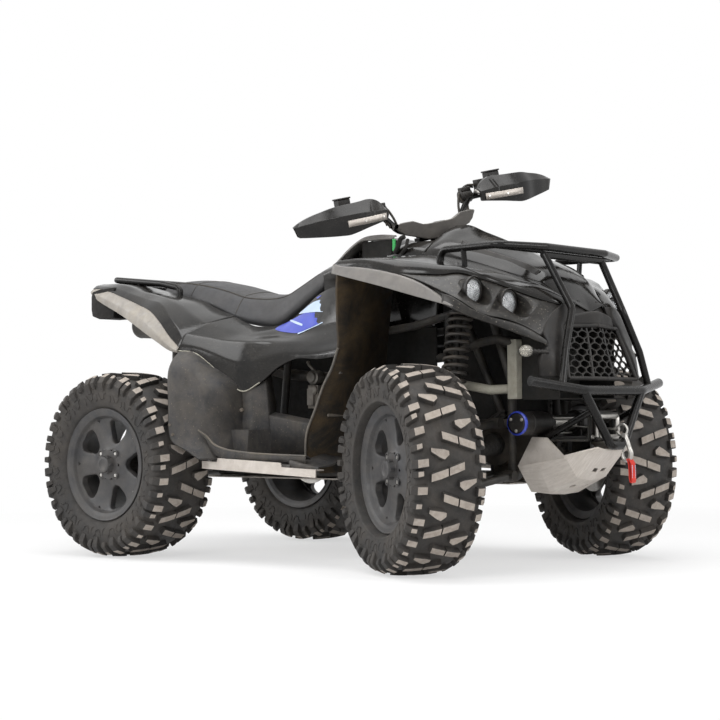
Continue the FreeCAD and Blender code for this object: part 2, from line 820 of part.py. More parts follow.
def makeShafts():
    inner = 93
    flange = 84.3
    shafts = []
    for axle, half in ((size.frontAxle, kingpinHalf), (rearAxle, size.rearTrackHalf - size.hubInset - 32)):
        ex = float(axle)
        outer = Vector(ex, -float(half), float(size.axleHeight))
        start = Vector(ex, -inner, float(size.diffHeight))
        run = outer - start
        along = Vector(run).normalize()
        shaft = Part.makeCylinder(float(size.shaftRadius), run.Length, start, along)
        joint = Part.makeSphere(float(size.ballRadius), outer)
        boot = bellows(start, along, 84, float(size.bootRadius) - 2, float(size.shaftRadius) + 5)
        cup = Part.makeCylinder(float(size.bootRadius), 16, Vector(ex, -flange, start.z), Vector(0, -1, 0))
        shafts.append(union([shaft, joint, boot, cup]))
    return shafts + [mirrorShape(shape) for shape in shafts]


def makeDifferentials():
    cases = []
    for axle in (size.frontAxle, rearAxle):
        ex = float(axle)
        height = float(size.diffHeight)
        case = Part.makeCylinder(float(size.diffRadius), 168, Vector(ex, -84, height), Vector(0, 1, 0))
        nose = Part.makeCylinder(26, 112, Vector(ex, 0, height - 32), Vector(-1 if ex > 0 else 1, 0, 0))
        foot = Part.makeBox(60, 110, height - 330, Vector(ex - 30, -55, float(size.bellyTop) + 0.3))
        cases.append(union([case, nose, foot]))
    return cases


def makeEngine():
    return block("engine", (-90, -150, size.railHeight + size.frameTube + size.seatGap), (330, 150, 660))


def makeRadiator():
    return block("radiator", (762, -190, 545), (800, 190, 740))


def makeWinch():
    ex = float(size.winchX)
    height = float(size.winchZ)
    radius = float(size.winchRadius)
    motor = Part.makeCylinder(radius, 166, Vector(ex, -236, height), Vector(0, 1, 0))
    cap = Part.makeCylinder(radius - 5, 10, Vector(ex, -244, height), Vector(0, 1, 0))
    drum = Part.makeCylinder(26, 150, Vector(ex, -75, height), Vector(0, 1, 0))
    gear = Part.makeCylinder(radius + 4, 95, Vector(ex, 70, height), Vector(0, 1, 0))
    bed = Part.makeBox(76, 210, 8, Vector(ex - 38, -105, height - 52))
    ends = [Part.makeBox(60, 8, 60, Vector(ex - 30, y, height - 48)) for y in (-82, 74)]
    return union([motor, cap, drum, gear, bed] + ends)


def makeFairlead():
    # roller fairlead on the winch plate's lip
    ex = 1000 + float(size.seatGap)
    height = float(size.winchZ)
    plate = Part.makeBox(5, 150, 96, Vector(ex, -75, height - 58))
    plate = plate.cut(Part.makeBox(20, 96, 46, Vector(ex - 5, -48, height - 36)))
    rollers = [Part.makeCylinder(8, 112, Vector(ex + 16, -56, z), Vector(0, 1, 0)) for z in (height - 46, height + 20)]
    posts = [Part.makeCylinder(8, 66, Vector(ex + 16, y, height - 46)) for y in (-56, 56)]
    shelves = [Part.makeBox(14, 130, 5, Vector(ex + 3, -65, z)) for z in (height - 57, height + 28)]
    return union([plate] + rollers + posts + shelves)


def makeHook():
    # the rope's end with its thimble, the safety hook and the pull strap
    drum = float(size.winchX) + 25.3 + float(size.seatGap)
    rope = Part.makeCylinder(3, 1054 - drum, Vector(drum, 0, float(size.winchZ) - 9), Vector(1, 0, -0.06))
    ring = Part.makeTorus(18, 4, Vector(1072, 0, 447), Vector(0, 1, 0))
    hook = tubeShape([(1080, 0, 430), (1090, 0, 400), (1094, 0, 355)], 7)
    strap = Part.makeBox(6, 26, 78, Vector(1107, -13, 277))
    link = Part.makeBox(24, 20, 10, Vector(1088, -10, 348))
    return union([rope, ring, hook, strap, link])


def makeBumper():
    corner = (size.bumperCornerX, -size.bumperCornerHalf, size.bumperCornerZ)
    end = (size.bumperEndX, -size.bumperEndHalf, size.bumperEndZ)
    flip = lambda p: (p[0], -p[1], p[2])
    bar = tubeShape([end, corner, flip(corner), flip(end)], size.bumperTube, 70)
    vee = tubeShape([corner, (1052, -38, 398), (1052, 38, 398), flip(corner)], size.bumperTube - 2, 30)
    top = float(rackHeight - size.rackTube - size.uprightTube - size.seatGap)
    shapes = [bar, vee, tubeShape([(895, -172, top), (895, 172, top)], size.uprightTube)]
    plateTop = float(size.winchZ) - 52.3
    for side in (-1, 1):
        shapes.append(tubeShape([(895, side * 164, top), (987, side * 149, 829), (1006, side * 215, 700),
                                 (1016, side * 252, 586)], size.uprightTube, 45))
        strut = tubeShape([(1044, side * 122, 511), (868, side * 125, 424)], 11)
        shapes.append(strut.cut(Part.makeBox(400, 400, 40, Vector(700, -200, plateTop - 40))))
    return union(shapes)


def skidHoles():
    # two drain holes, two slots and the oil hole through the middle of the skid plate
    holes = [Part.makeCylinder(11, 90, Vector(x, y, 220)) for x in (815, 905) for y in (-36, 36)]
    for y in (-22, 22):
        holes.append(Part.makeBox(14, 26, 130, Vector(975, y - 13, 260)))
    return Part.makeCompound(holes)


def makeGuardPlates():
    wall = float(size.plateWall)
    lines = [(775.3, [(-150, 337), (-78, 252), (0, 250)]),
             (850, [(-150, 348), (-78, 246), (0, 243)]),
             (955, [(-150, 370), (-82, 300), (0, 290)]),
             (1042, [(-96, 395), (-60, 388), (0, 386)])]
    skid = shell(lines, wall)
    fins = []
    for s in (-1, 1):
        face = Part.Face(loop([(776, s * 150, 332), (833, s * 150, 426), (890, s * 150, 424), (953, s * 150, 368),
                               (950, s * 150, 360)]))
        fins.append(face.extrude(Vector(0, s * wall, 0)))
    skidPlate = union([skid] + fins).cut(skidHoles())
    bellyTop = float(size.bellyTop)
    belly = lofted([[(x, -145, bellyTop - wall), (x, 145, bellyTop - wall), (x, 145, bellyTop), (x, -145, bellyTop)]
                    for x in (-760, stretchBack, stretchFront, 740)])
    boards = []
    for s in (-1, 1):
        sections = []
        for forward, rise in ((boardBack, 0), (-232, 0), (-228, 14), (68, 14), (72, 0), (boardFront, 0)):
            top = boardTop(forward)
            sections.append([(forward, s * 470, top), (forward, s * 507, top), (forward, s * 507, top + rise + 0.1),
                             (forward, s * 511, top + rise + 0.1), (forward, s * 511, top - 26),
                             (forward, s * 507, top - 26), (forward, s * 507, top - 4), (forward, s * 470, top - 4)])
        boards.append(lofted(sections))
    return skidPlate, Part.makeCompound([belly] + boards)


# Bodywork

# the seam between hood and fenders, right side: distance forward, half width, height
seam = [(300, 190, 1028), (420, 190, 1030), (520, 190, 1024), (620, 190, 1000), (775, 175, 950), (870, 150, 915),
        (955, 82, 852)]


def seamAt(forward):
    for (x0, y0, z0), (x1, y1, z1) in zip(seam, seam[1:]):
        if x0 <= forward <= x1:
            part = (forward - x0) / (x1 - x0)
            return y0 + (y1 - y0) * part, z0 + (z1 - z0) * part


fenderCrest = 1010
rackHeight = fenderCrest + size.rackRise
rearDeck = 1010
rearRackHeight = rearDeck + size.rearRackRise


def makeFrontFenders(lamps):
    outer = {300: [(-508, 922), (-520, 950), (-512, 978), (-330, 1000)],
             420: [(-522, 918), (-528, 945), (-482, 998), (-330, fenderCrest)],
             520: [(-524, 896), (-526, 935), (-462, 1004), (-320, 1010)],
             620: [(-520, 872), (-520, 908), (-410, 1003), (-300, 985)],
             775: [(-495, 835), (-470, 872), (-330, 948), (-250, 945)],
             820: [(-452, 812), (-432, 845), (-320, 884), (-248, 930)],
             870: [(-405, 782), (-393, 802), (-300, 838), (-232, 904)],
             955: [(-262, 720), (-254, 762), (-200, 800), (-130, 857)]}
    stations = []
    for forward, line in outer.items():
        half, height = seamAt(forward)
        stations.append((forward, line + [(-half - 0.4, height)]))
    shape = shell(stations, size.panelWall, whole=False)
    return [shape.cut(lamps), mirrorShape(shape).cut(mirrorShape(lamps))]


def makeHood():
    tops = {420: [(-150, 1085), (-60, 1140), (0, 1145)], 520: [(-150, 1078), (-56, 1128), (0, 1132)],
            620: [(-150, 1047), (-50, 1080), (0, 1084)], 775: [(-140, 998), (-60, 1006), (0, 1010)],
            870: [(-120, 958), (-60, 955), (0, 954)], 955: [(-52, 876), (-20, 848), (0, 824)]}
    stations = []
    for forward, line in tops.items():
        half, height = seamAt(forward)
        stations.append((forward, [(-half, height)] + line))
    return shell(stations, size.panelWall)


def makeConsole():
    lows = {-109.7: 772, 40: 788, 160: 800, 250: 809}
    tops = {-109.7: [(-90, 960), (-96, 1010), (-60, 1034), (0, 1036)],
            40: [(-118, 960), (-138, 1030), (-90, 1076), (0, 1080)],
            160: [(-140, 960), (-158, 1050), (-110, 1114), (0, 1122)],
            250: [(-148, 970), (-162, 1030), (-110, 1078), (0, 1084)]}
    stations = [(forward, [(0, lows[forward]), (-88, lows[forward])] + line) for forward, line in tops.items()]
    return solidAlong(stations)


def makeSeat():
    stations = [
        (-952, [(0, 968), (-70, 968), (-82, 976), (-60, 984), (0, 986)]),
        (-900, [(0, 942), (-128, 948), (-140, 975), (-110, 1000), (0, 1010)]),
        (-800, [(0, 925), (-160, 930), (-172, 958), (-130, 1012), (0, 1026)]),
        (-620, [(0, 880), (-172, 895), (-182, 925), (-138, 985), (0, 1004)]),
        (-470, [(0, 822), (-172, 840), (-180, 872), (-132, 942), (0, 968)]),
        (-361, [(0, 800), (-160, 820), (-170, 850), (-122, 930), (0, 955)]),
        (-290, [(0, 800), (-148, 812), (-156, 845), (-112, 935), (0, 962)]),
        (-210, [(0, 845), (-126, 862), (-132, 895), (-96, 975), (0, 996)]),
        (-110, [(0, 940), (-84, 948), (-92, 975), (-68, 1034), (0, 1046)])]
    shapes = [solidAlong(stations)]
    for forward, height in ((-370, 760), (-800, 852)):
        for side in (-1, 1):
            reach = 125 if forward > -600 else 137
            top = 815 if forward > -600 else 940
            shapes.append(boxAlong(16, 22, top - height - 17, (forward - 8, side * reach - 11, height + 17)))
    return union(shapes)


def makeRearFenders():
    stations = [
        (-1100, [(-330, 932), (-328, 990), (-262, rearDeck), (-190, rearDeck)]),
        (-950, [(-368, 880), (-362, 962), (-300, 1000), (-190, 1000)]),
        (-765, [(-420, 835), (-406, 898), (-340, 934), (-190, 960)]),
        (-620, [(-455, 788), (-440, 848), (-380, 908), (-190, 925)]),
        (-457.2, [(-482, 730), (-477, 752), (-430, 806), (-195, 866)])]
    half = shell(stations, size.panelWall, whole=False)
    tail = boxAlong(130, 384, 5, (-1100, -192, rearDeck - 7))
    return union([half, mirrorShape(half), tail])


def makeSidePanels():
    stations = [
        (-456.8, [(-482, 730), (-477, 752), (-440, 792), (-330, 838), (-196, 866)]),
        (-340, [(-440, 662), (-425, 715), (-370, 765), (-270, 795), (-200, 824)]),
        (-220, [(-400, 580), (-385, 690), (-330, 765), (-235, 790), (-182, 826)]),
        (-90, [(-348, 668), (-340, 715), (-300, 757), (-240, 785), (-142, 928)]),
        (80, [(-330, 690), (-325, 715), (-290, 745), (-235, 795), (-174, 958)]),
        (250, [(-325, 715), (-320, 740), (-290, 775), (-240, 860), (-190, 1018)])]
    half = shell(stations, size.panelWall, whole=False)
    return [half, mirrorShape(half)]


def plank(rows, wall):
    # a ruled panel from rows of points, with its wall behind them
    sections = []
    for points in rows:
        back = [(x - wall, y, z) for x, y, z in reversed(points)]
        sections.append(list(points) + back)
    return lofted(sections)


def makeFootwells():
    # the wall in front of the rear wheel, the inner wall behind the engine's opening, the floor and the toe box
    wall = plank([[(-424, -502, 726), (-412, -474, 722)],
                  [(-400, -575, 660), (-345, -442, 655)],
                  [(-383, -592, 575), (-226, -402, 572)],
                  [(-371, -602, 460), (-210, -400, 460)],
                  [(-366, -606, 426), (-208, -400, 426)],
                  [(-262, -566, 352), (-205, -400, 352)]], 5)
    inner = plank([[(-226, -400, 570), (-152, -330, 570), (-150, -210, 570)],
                   [(-210, -400, 460), (-140, -330, 460), (-140, -210, 460)],
                   [(-205, -400, 346), (-138, -330, 346), (-138, -210, 346)]], 5)
    box = lofted([[(-272, -462, z), (-78, -425, z), (-112, -328, z), (-215, -396, z)] for z in (350, 450)])
    floorLines = [(-262, 200), (104, 200)]
    floor = lofted([[(x, -506, boardTop(x) + 0.3), (x, -506, boardTop(x) + 7), (x, -430, boardTop(x) + 22),
                     (x, -inside, boardTop(x) + 22), (x, -inside, boardTop(x) + 16), (x, -430, boardTop(x) + 16),
                     (x, -468, boardTop(x) + 0.3)] for x, inside in floorLines])
    half = union([wall, inner, box, floor])
    return [half, mirrorShape(half)]


def makeMudFlaps(fender):
    # the folded wall between the footwell and the front wheel, up to the fender's underside
    half = plank([[(322, -506, 990), (341, -400, 990), (338, -240, 990)],
                  [(319, -506, 944), (338, -400, 944), (334, -240, 944)],
                  [(300, -480, 717), (318, -390, 717), (300, -230, 717)],
                  [(217, -458, 600), (250, -380, 600), (270, -225, 600)],
                  [(122, -440, 433), (170, -370, 433), (220, -220, 433)],
                  [(112, -432, 305), (150, -360, 305), (190, -220, 305)]], 5)
    half = min(half.cut(fender).Solids, key=lambda solid: solid.BoundBox.ZMin)
    return [half, mirrorShape(half)]


def makeCowl(fender):
    # the nose's side pieces between the grille and the lamp panels
    half = plank([[(957, -84, 846), (957, -150, 850)],
                  [(952, -151, 778), (960, -256, 722)],
                  [(1001, -197, 612), (955, -268, 612)]], 5).cut(fender)
    half = max(half.Solids, key=lambda solid: solid.Volume)
    return [half, mirrorShape(half)]


def makeGrille():
    # a plate folded on the centre plane, with rows of long hexagonal openings
    low, high = 612.2, 772
    plate = plank([[(953.6, -152.3, high), (982, 0, high), (953.6, 152.3, high)],
                   [(1000.8, -196.6, low), (1012, 0, low), (1000.8, 196.6, low)]], 5)
    pitch, rise, bar = 52, 21, 5
    half, level = (pitch - bar) / 2, (rise * 1.44 - bar) / 2
    cells = []
    for row in range(6):
        height = low + 26 + row * rise
        reach = 152.3 + 44.3 * (high - height) / (high - low) - bar - half
        for column in range(-4, 5):
            centre = pitch * (column + 0.5 * (row % 2))
            if abs(centre) > reach:
                continue
            corners = [(half, level * 0.4), (half * 0.32, level), (-half * 0.32, level), (-half, level * 0.4),
                       (-half, -level * 0.4), (-half * 0.32, -level), (half * 0.32, -level), (half, -level * 0.4)]
            cell = Part.Face(loop([(930, centre + y, height + z) for y, z in corners]))
            cells.append(cell.extrude(Vector(110, 0, 0)))
    return plate.cut(Part.makeCompound(cells))


def lampCase(side, length, spread, place, direction, grow=0):
    return Part.makeCylinder(length + grow, spread + 2 * grow, Vector(*place) - Vector(*direction).normalize() * grow,
                             Vector(*direction))


outerLampPlace, outerLampWay = (748, -388, 888), (0.96, -0.2, -0.05)
innerLampPlace, innerLampWay = (800, -282, 853), (0.97, -0.15, -0.05)


def lampShapes(grow=0):
    return [lampCase(-1, float(size.lampOuterRadius), 60, outerLampPlace, outerLampWay, grow),
            lampCase(-1, float(size.lampInnerRadius), 60, innerLampPlace, innerLampWay, grow)]


def makeLamps(cowl, tail):
    signal = union([Part.makeSphere(22, Vector(917, -302, 695)),
                    tubeShape([(917, -302, 695), (966, -248, 690)], 7)]).cut(cowl)
    signal = min(signal.Solids, key=lambda solid: solid.BoundBox.XMin)
    rear = boxAlong(110, 76, 108, (-1086, -318, 890)).cut(tail)
    rear = max(rear.Solids, key=lambda solid: solid.Volume)
    shapes = lampShapes() + [signal, rear]
    return shapes + [mirrorShape(shape) for shape in shapes]


def makeMuffler(carrier):
    body = Part.makeCylinder(52, 300, vec(lengthwise((-990, -214, 806))), Vector(1, 0, -0.06))
    hanger = boxAlong(30, 62, 26, (-925, -212, 850)).cut(carrier)
    return union([body, hanger])


def makeHitch():
    plate = boxAlong(82, 60, float(size.hitchPlate), (-960, -30, 392))
    back = boxAlong(6, 70, 70, (-882.3, -35, 365))
    bore = Part.makeCylinder(float(size.hitchBore), 60, vec(lengthwise((-935, 0, 370))))
    return union([plate, back]).cut(bore)


def makeFrontRack(fenders):
    half = size.rackHalf
    height = rackHeight
    front = size.rackFrontX
    hoop = tubeShape([(598, -half + 27, 960), (598, -half + 25, height), (front - 60, -half, height),
                      (front, -170, height), (front, 170, height), (front - 60, half, height),
                      (598, half - 25, height), (598, half - 27, 960)], size.rackTube, 30)
    shapes = [hoop, tubeShape([(820, -half + 6, height), (820, half - 6, height)], size.rackTube - 2)]
    for side in (-1, 1):
        shapes.append(tubeShape([(700, side * 332, height), (700, side * 322, 940)], 9))
    rack = union(shapes).cut(fenders)
    return max(rack.Solids, key=lambda solid: solid.Volume)


def makeRearRack(fenders):
    half = size.rearRackHalf
    height = rearRackHeight
    end = size.rearRackEnd
    hoop = tubeAlong([(-735, -half, 940), (-735, -half, height - 50), (-830, -half, height - 30), (end, -half, height),
                      (end, half, height), (-830, half, height - 30), (-735, half, height - 50), (-735, half, 940)],
                     size.rackTube, 20)
    shapes = [hoop, tubeAlong([(-1000, -half, height - 11), (-1000, half, height - 11)], size.rackTube - 2)]
    for side in (-1, 1):
        shapes.append(tubeAlong([(-960, side * (half - 2), height - 16), (-960, side * (half - 2), height - 47)], 9))
    rack = union(shapes).cut(fenders)
    return max(rack.Solids, key=lambda solid: solid.Volume)


def put(label, shape):
    if isinstance(shape, (list, tuple)):
        shape = Part.makeCompound(list(shape))
    return keep(feature(label, shape), label)


frame = makeFrame()
lampTool = Part.makeCompound(lampShapes(float(size.seatGap)))
frontFenders = makeFrontFenders(lampTool)
rearFenders = makeRearFenders()
skidPlate, underGuards = makeGuardPlates()
# stays from the frame to the underside of the fenders
stays = []
for side in (-1, 1):
    stay = Part.makeCylinder(9, 130, Vector(float(size.frontAxle), side * 268, float(size.frontTowerZ) + 4))
    stays.append(max(stay.cut(frontFenders[0 if side < 0 else 1]).Solids, key=lambda solid: -solid.BoundBox.ZMin))
    rear = tubeAlong([(-860, side * 135, 870), (-860, side * 230, 890), (-860, side * 230, 1000)], 9)
    stays.append(max(rear.cut(rearFenders).Solids, key=lambda solid: solid.Volume))
put("frame", union([frame] + stays))
put("front_arms", makeFrontArms())
put("rear_arms", makeRearArms())
put("front_shocks", makeShocks(frontShockTop, frontShockFoot, 0.26))
put("rear_shocks", makeShocks(rearShockTop, rearShockFoot, 0.42))
put("half_shafts", makeShafts())
put("differentials", makeDifferentials())
keep(makeEngine(), "engine")
keep(makeRadiator(), "radiator")
put("winch", makeWinch())
put("fairlead", makeFairlead())
put("tow_hook", makeHook())
put("bumper", makeBumper())
put("front_rack", makeFrontRack(Part.makeCompound(frontFenders)))
put("rear_rack", makeRearRack(rearFenders))
put("front_skid_plate", skidPlate)
put("under_guards", underGuards)
put("front_fenders", frontFenders)
put("hood", makeHood())
put("console", makeConsole())
put("seat", makeSeat())
put("rear_fenders", rearFenders)
put("side_panels", makeSidePanels())
put("footwells", makeFootwells())
put("mud_flaps", makeMudFlaps(frontFenders[0]))
cowl = makeCowl(frontFenders[0])
put("front_cowl", cowl)
put("grille", makeGrille())
put("lamps", makeLamps(cowl[0], rearFenders))
put("muffler", makeMuffler(frame))
put("tow_hitch", makeHitch())

doc.recompute()
for obj in doc.Objects:
    if "Invalid" in obj.State or "Error" in obj.State:
        raise RuntimeError(f"{obj.Name} failed: {obj.State}")
os.makedirs("parts", exist_ok=True)
failed = [obj.Label for obj in subparts if obj.Shape.isNull() or not obj.Shape.isValid()]
if failed:
    raise RuntimeError(f"no valid shape: {failed}")
for obj in subparts:
    obj.Shape.exportStep(f"parts/{obj.Label}.step")
print(len(subparts), "sub-parts written")
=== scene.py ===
import math

import bmesh
import bpy
import numpy as np
from mathutils import Matrix, Vector


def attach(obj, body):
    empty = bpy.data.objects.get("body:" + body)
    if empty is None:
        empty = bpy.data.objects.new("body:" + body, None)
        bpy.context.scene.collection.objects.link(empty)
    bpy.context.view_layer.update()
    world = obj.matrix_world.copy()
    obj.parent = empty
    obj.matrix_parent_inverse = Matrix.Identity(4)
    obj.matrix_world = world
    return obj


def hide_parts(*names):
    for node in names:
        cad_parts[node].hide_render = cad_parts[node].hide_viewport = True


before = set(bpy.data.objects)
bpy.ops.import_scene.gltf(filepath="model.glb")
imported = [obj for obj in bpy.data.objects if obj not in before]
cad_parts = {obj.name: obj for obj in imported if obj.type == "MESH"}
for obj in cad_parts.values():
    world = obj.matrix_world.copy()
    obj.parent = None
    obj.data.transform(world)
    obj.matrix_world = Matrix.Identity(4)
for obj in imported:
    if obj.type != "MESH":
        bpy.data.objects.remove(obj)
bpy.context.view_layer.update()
mm = 0.001  # the shapes are in millimetres


# Camera, at the photo's place

camera = {"place": (4.0241, -4.7070, 0.5022), "yaw": 130.68, "pitch": 1.79, "roll": -0.41, "lens": 86.73,
          "sensor": 36, "shift": (0.0004, 0.0001)}


def makeCamera():
    # forward is (cos pitch cos yaw, cos pitch sin yaw, sin pitch); right and up lean by the roll
    yaw, pitch, roll = (math.radians(camera[k]) for k in ("yaw", "pitch", "roll"))
    forward = Vector((math.cos(pitch) * math.cos(yaw), math.cos(pitch) * math.sin(yaw), math.sin(pitch)))
    right = forward.cross(Vector((0, 0, 1))).normalized()
    up = right.cross(forward)
    turned = right * math.cos(roll) + up * math.sin(roll)
    raised = up * math.cos(roll) - right * math.sin(roll)
    lens = bpy.data.cameras.new("camera")
    lens.lens = camera["lens"]
    lens.sensor_width = camera["sensor"]
    lens.shift_x, lens.shift_y = camera["shift"]
    lens.clip_end = 60
    eye = bpy.data.objects.new("camera", lens)
    aim = Matrix((turned, raised, -forward)).transposed().to_4x4()
    eye.matrix_world = Matrix.Translation(camera["place"]) @ aim
    bpy.context.scene.collection.objects.link(eye)
    bpy.context.scene.camera = eye


makeCamera()
print("camera set")


# Materials

def tone(text):
    # hexadecimal colour as linear values
    value = np.array([int(text[i:i + 2], 16) for i in (0, 2, 4)]) / 255
    linear = np.where(value <= 0.04045, value / 12.92, ((value + 0.055) / 1.055) ** 2.4)
    return (*linear.tolist(), 1.0)


class Nodes:
    # nodes of one material or world, added and linked by short calls
    def __init__(self, owner):
        self.owner = owner
        owner.use_nodes = True
        self.tree = owner.node_tree
        self.tree.nodes.clear()
        self.at = self.add("TexCoord").outputs
        self.place = self.at["Object"]

    def add(self, kind, links=None, **values):
        # a node with its values set and its inputs linked
        node = self.tree.nodes.new("ShaderNode" + kind)
        for key, value in values.items():
            if hasattr(node, key):
                setattr(node, key, value)
            else:
                node.inputs[key.replace("_", " ")].default_value = value
        for key, source in (links or {}).items():
            self.tree.links.new(source, node.inputs[key])
        return node

    def noise(self, scale, detail=5, rough=0.6, warp=0, stretch=None):
        # soft noise over the object, stretched or warped
        place = self.place
        if stretch is not None:
            place = self.add("Mapping", {"Vector": place}, Scale=stretch).outputs[0]
        return self.add("TexNoise", {"Vector": place}, Scale=scale, Detail=detail, Roughness=rough,
                        Distortion=warp).outputs["Fac"]

    def span(self, source, low, high, start=0.0, end=1.0):
        # the value carried from low and high to start and end
        node = self.add("MapRange", {"Value": source})
        for key, value in zip(("From Min", "From Max", "To Min", "To Max"), (low, high, start, end)):
            node.inputs[key].default_value = value
        return node.outputs[0]

    def times(self, first, second, kind="MULTIPLY"):
        # first times second, or another operation on the two, held between 0 and 1
        node = self.add("Math", operation=kind, use_clamp=True)
        for index, value in enumerate((first, second)):
            if isinstance(value, (int, float)):
                node.inputs[index].default_value = value
            else:
                self.tree.links.new(value, node.inputs[index])
        return node.outputs[0]

    def mix(self, factor, first, second):
        # the first colour where the factor is 0, the second where it is 1
        node = self.add("Mix", data_type="RGBA")
        self.tree.links.new(factor, node.inputs[0])
        for index, value in ((6, first), (7, second)):
            if isinstance(value, tuple):
                node.inputs[index].default_value = value
            else:
                self.tree.links.new(value, node.inputs[index])
        return node.outputs[2]


def surface(name, base, shade, rough, metal=0.0, scale=24, grain=700, bump=0.12, dust=None, dustAmount=0.5,
            dustScale=9, upward=0.6, specks=0.0, wear=None, wearAmount=0.5, coat=0.0, stretch=None,
            weave=0.0, shine=0.5):
    # two tones in a soft noise, dust where it settles, splashes as specks, worn edges, and a fine grain
    n = Nodes(bpy.data.materials.new(name))
    colour = n.mix(n.span(n.noise(scale, 6, 0.62, 0.4, stretch), 0.35, 0.66), tone(base), tone(shade))
    geometry = n.add("NewGeometry")
    roughness = n.span(n.noise(scale * 2.3, 4), 0.3, 0.7, max(rough - 0.05, 0.02), min(rough + 0.1, 1))
    if wear:
        edge = n.times(n.span(geometry.outputs["Pointiness"], 0.52, 0.60, 0, wearAmount),
                       n.span(n.noise(60, 4), 0.35, 0.6))
        colour = n.mix(edge, colour, tone(wear))
    if dust:
        height = n.add("SeparateXYZ", {"Vector": geometry.outputs["Normal"]}).outputs["Z"]
        settle = n.span(height, -0.1, 0.9, 1 - upward, 1.0)
        mask = n.times(n.span(n.noise(dustScale, 9, 0.72, 0.6), 0.38, 0.68, 0.0, dustAmount), settle)
        if specks:
            mask = n.times(mask, n.span(n.noise(190, 3, 0.5), 0.66, 0.70, 0.0, specks), "ADD")
        colour = n.mix(mask, colour, tone(dust))
        roughness = n.times(roughness, n.span(mask, 0.0, 0.8, 0.0, 0.45), "ADD")
    height = n.noise(grain, 3)
    if weave:
        cells = n.add("TexVoronoi", {"Vector": n.place}, Scale=weave).outputs["Distance"]
        height = n.times(height, cells, "ADD")
    relief = n.add("Bump", {"Height": height}, Strength=bump, Distance=0.0006)
    shader = n.add("BsdfPrincipled",
                   {"Base Color": colour, "Roughness": roughness, "Normal": relief.outputs[0]},
                   Metallic=metal, Coat_Weight=coat, Coat_Roughness=0.06, Specular_IOR_Level=shine)
    n.add("OutputMaterial", {"Surface": shader.outputs[0]})
    return n.owner


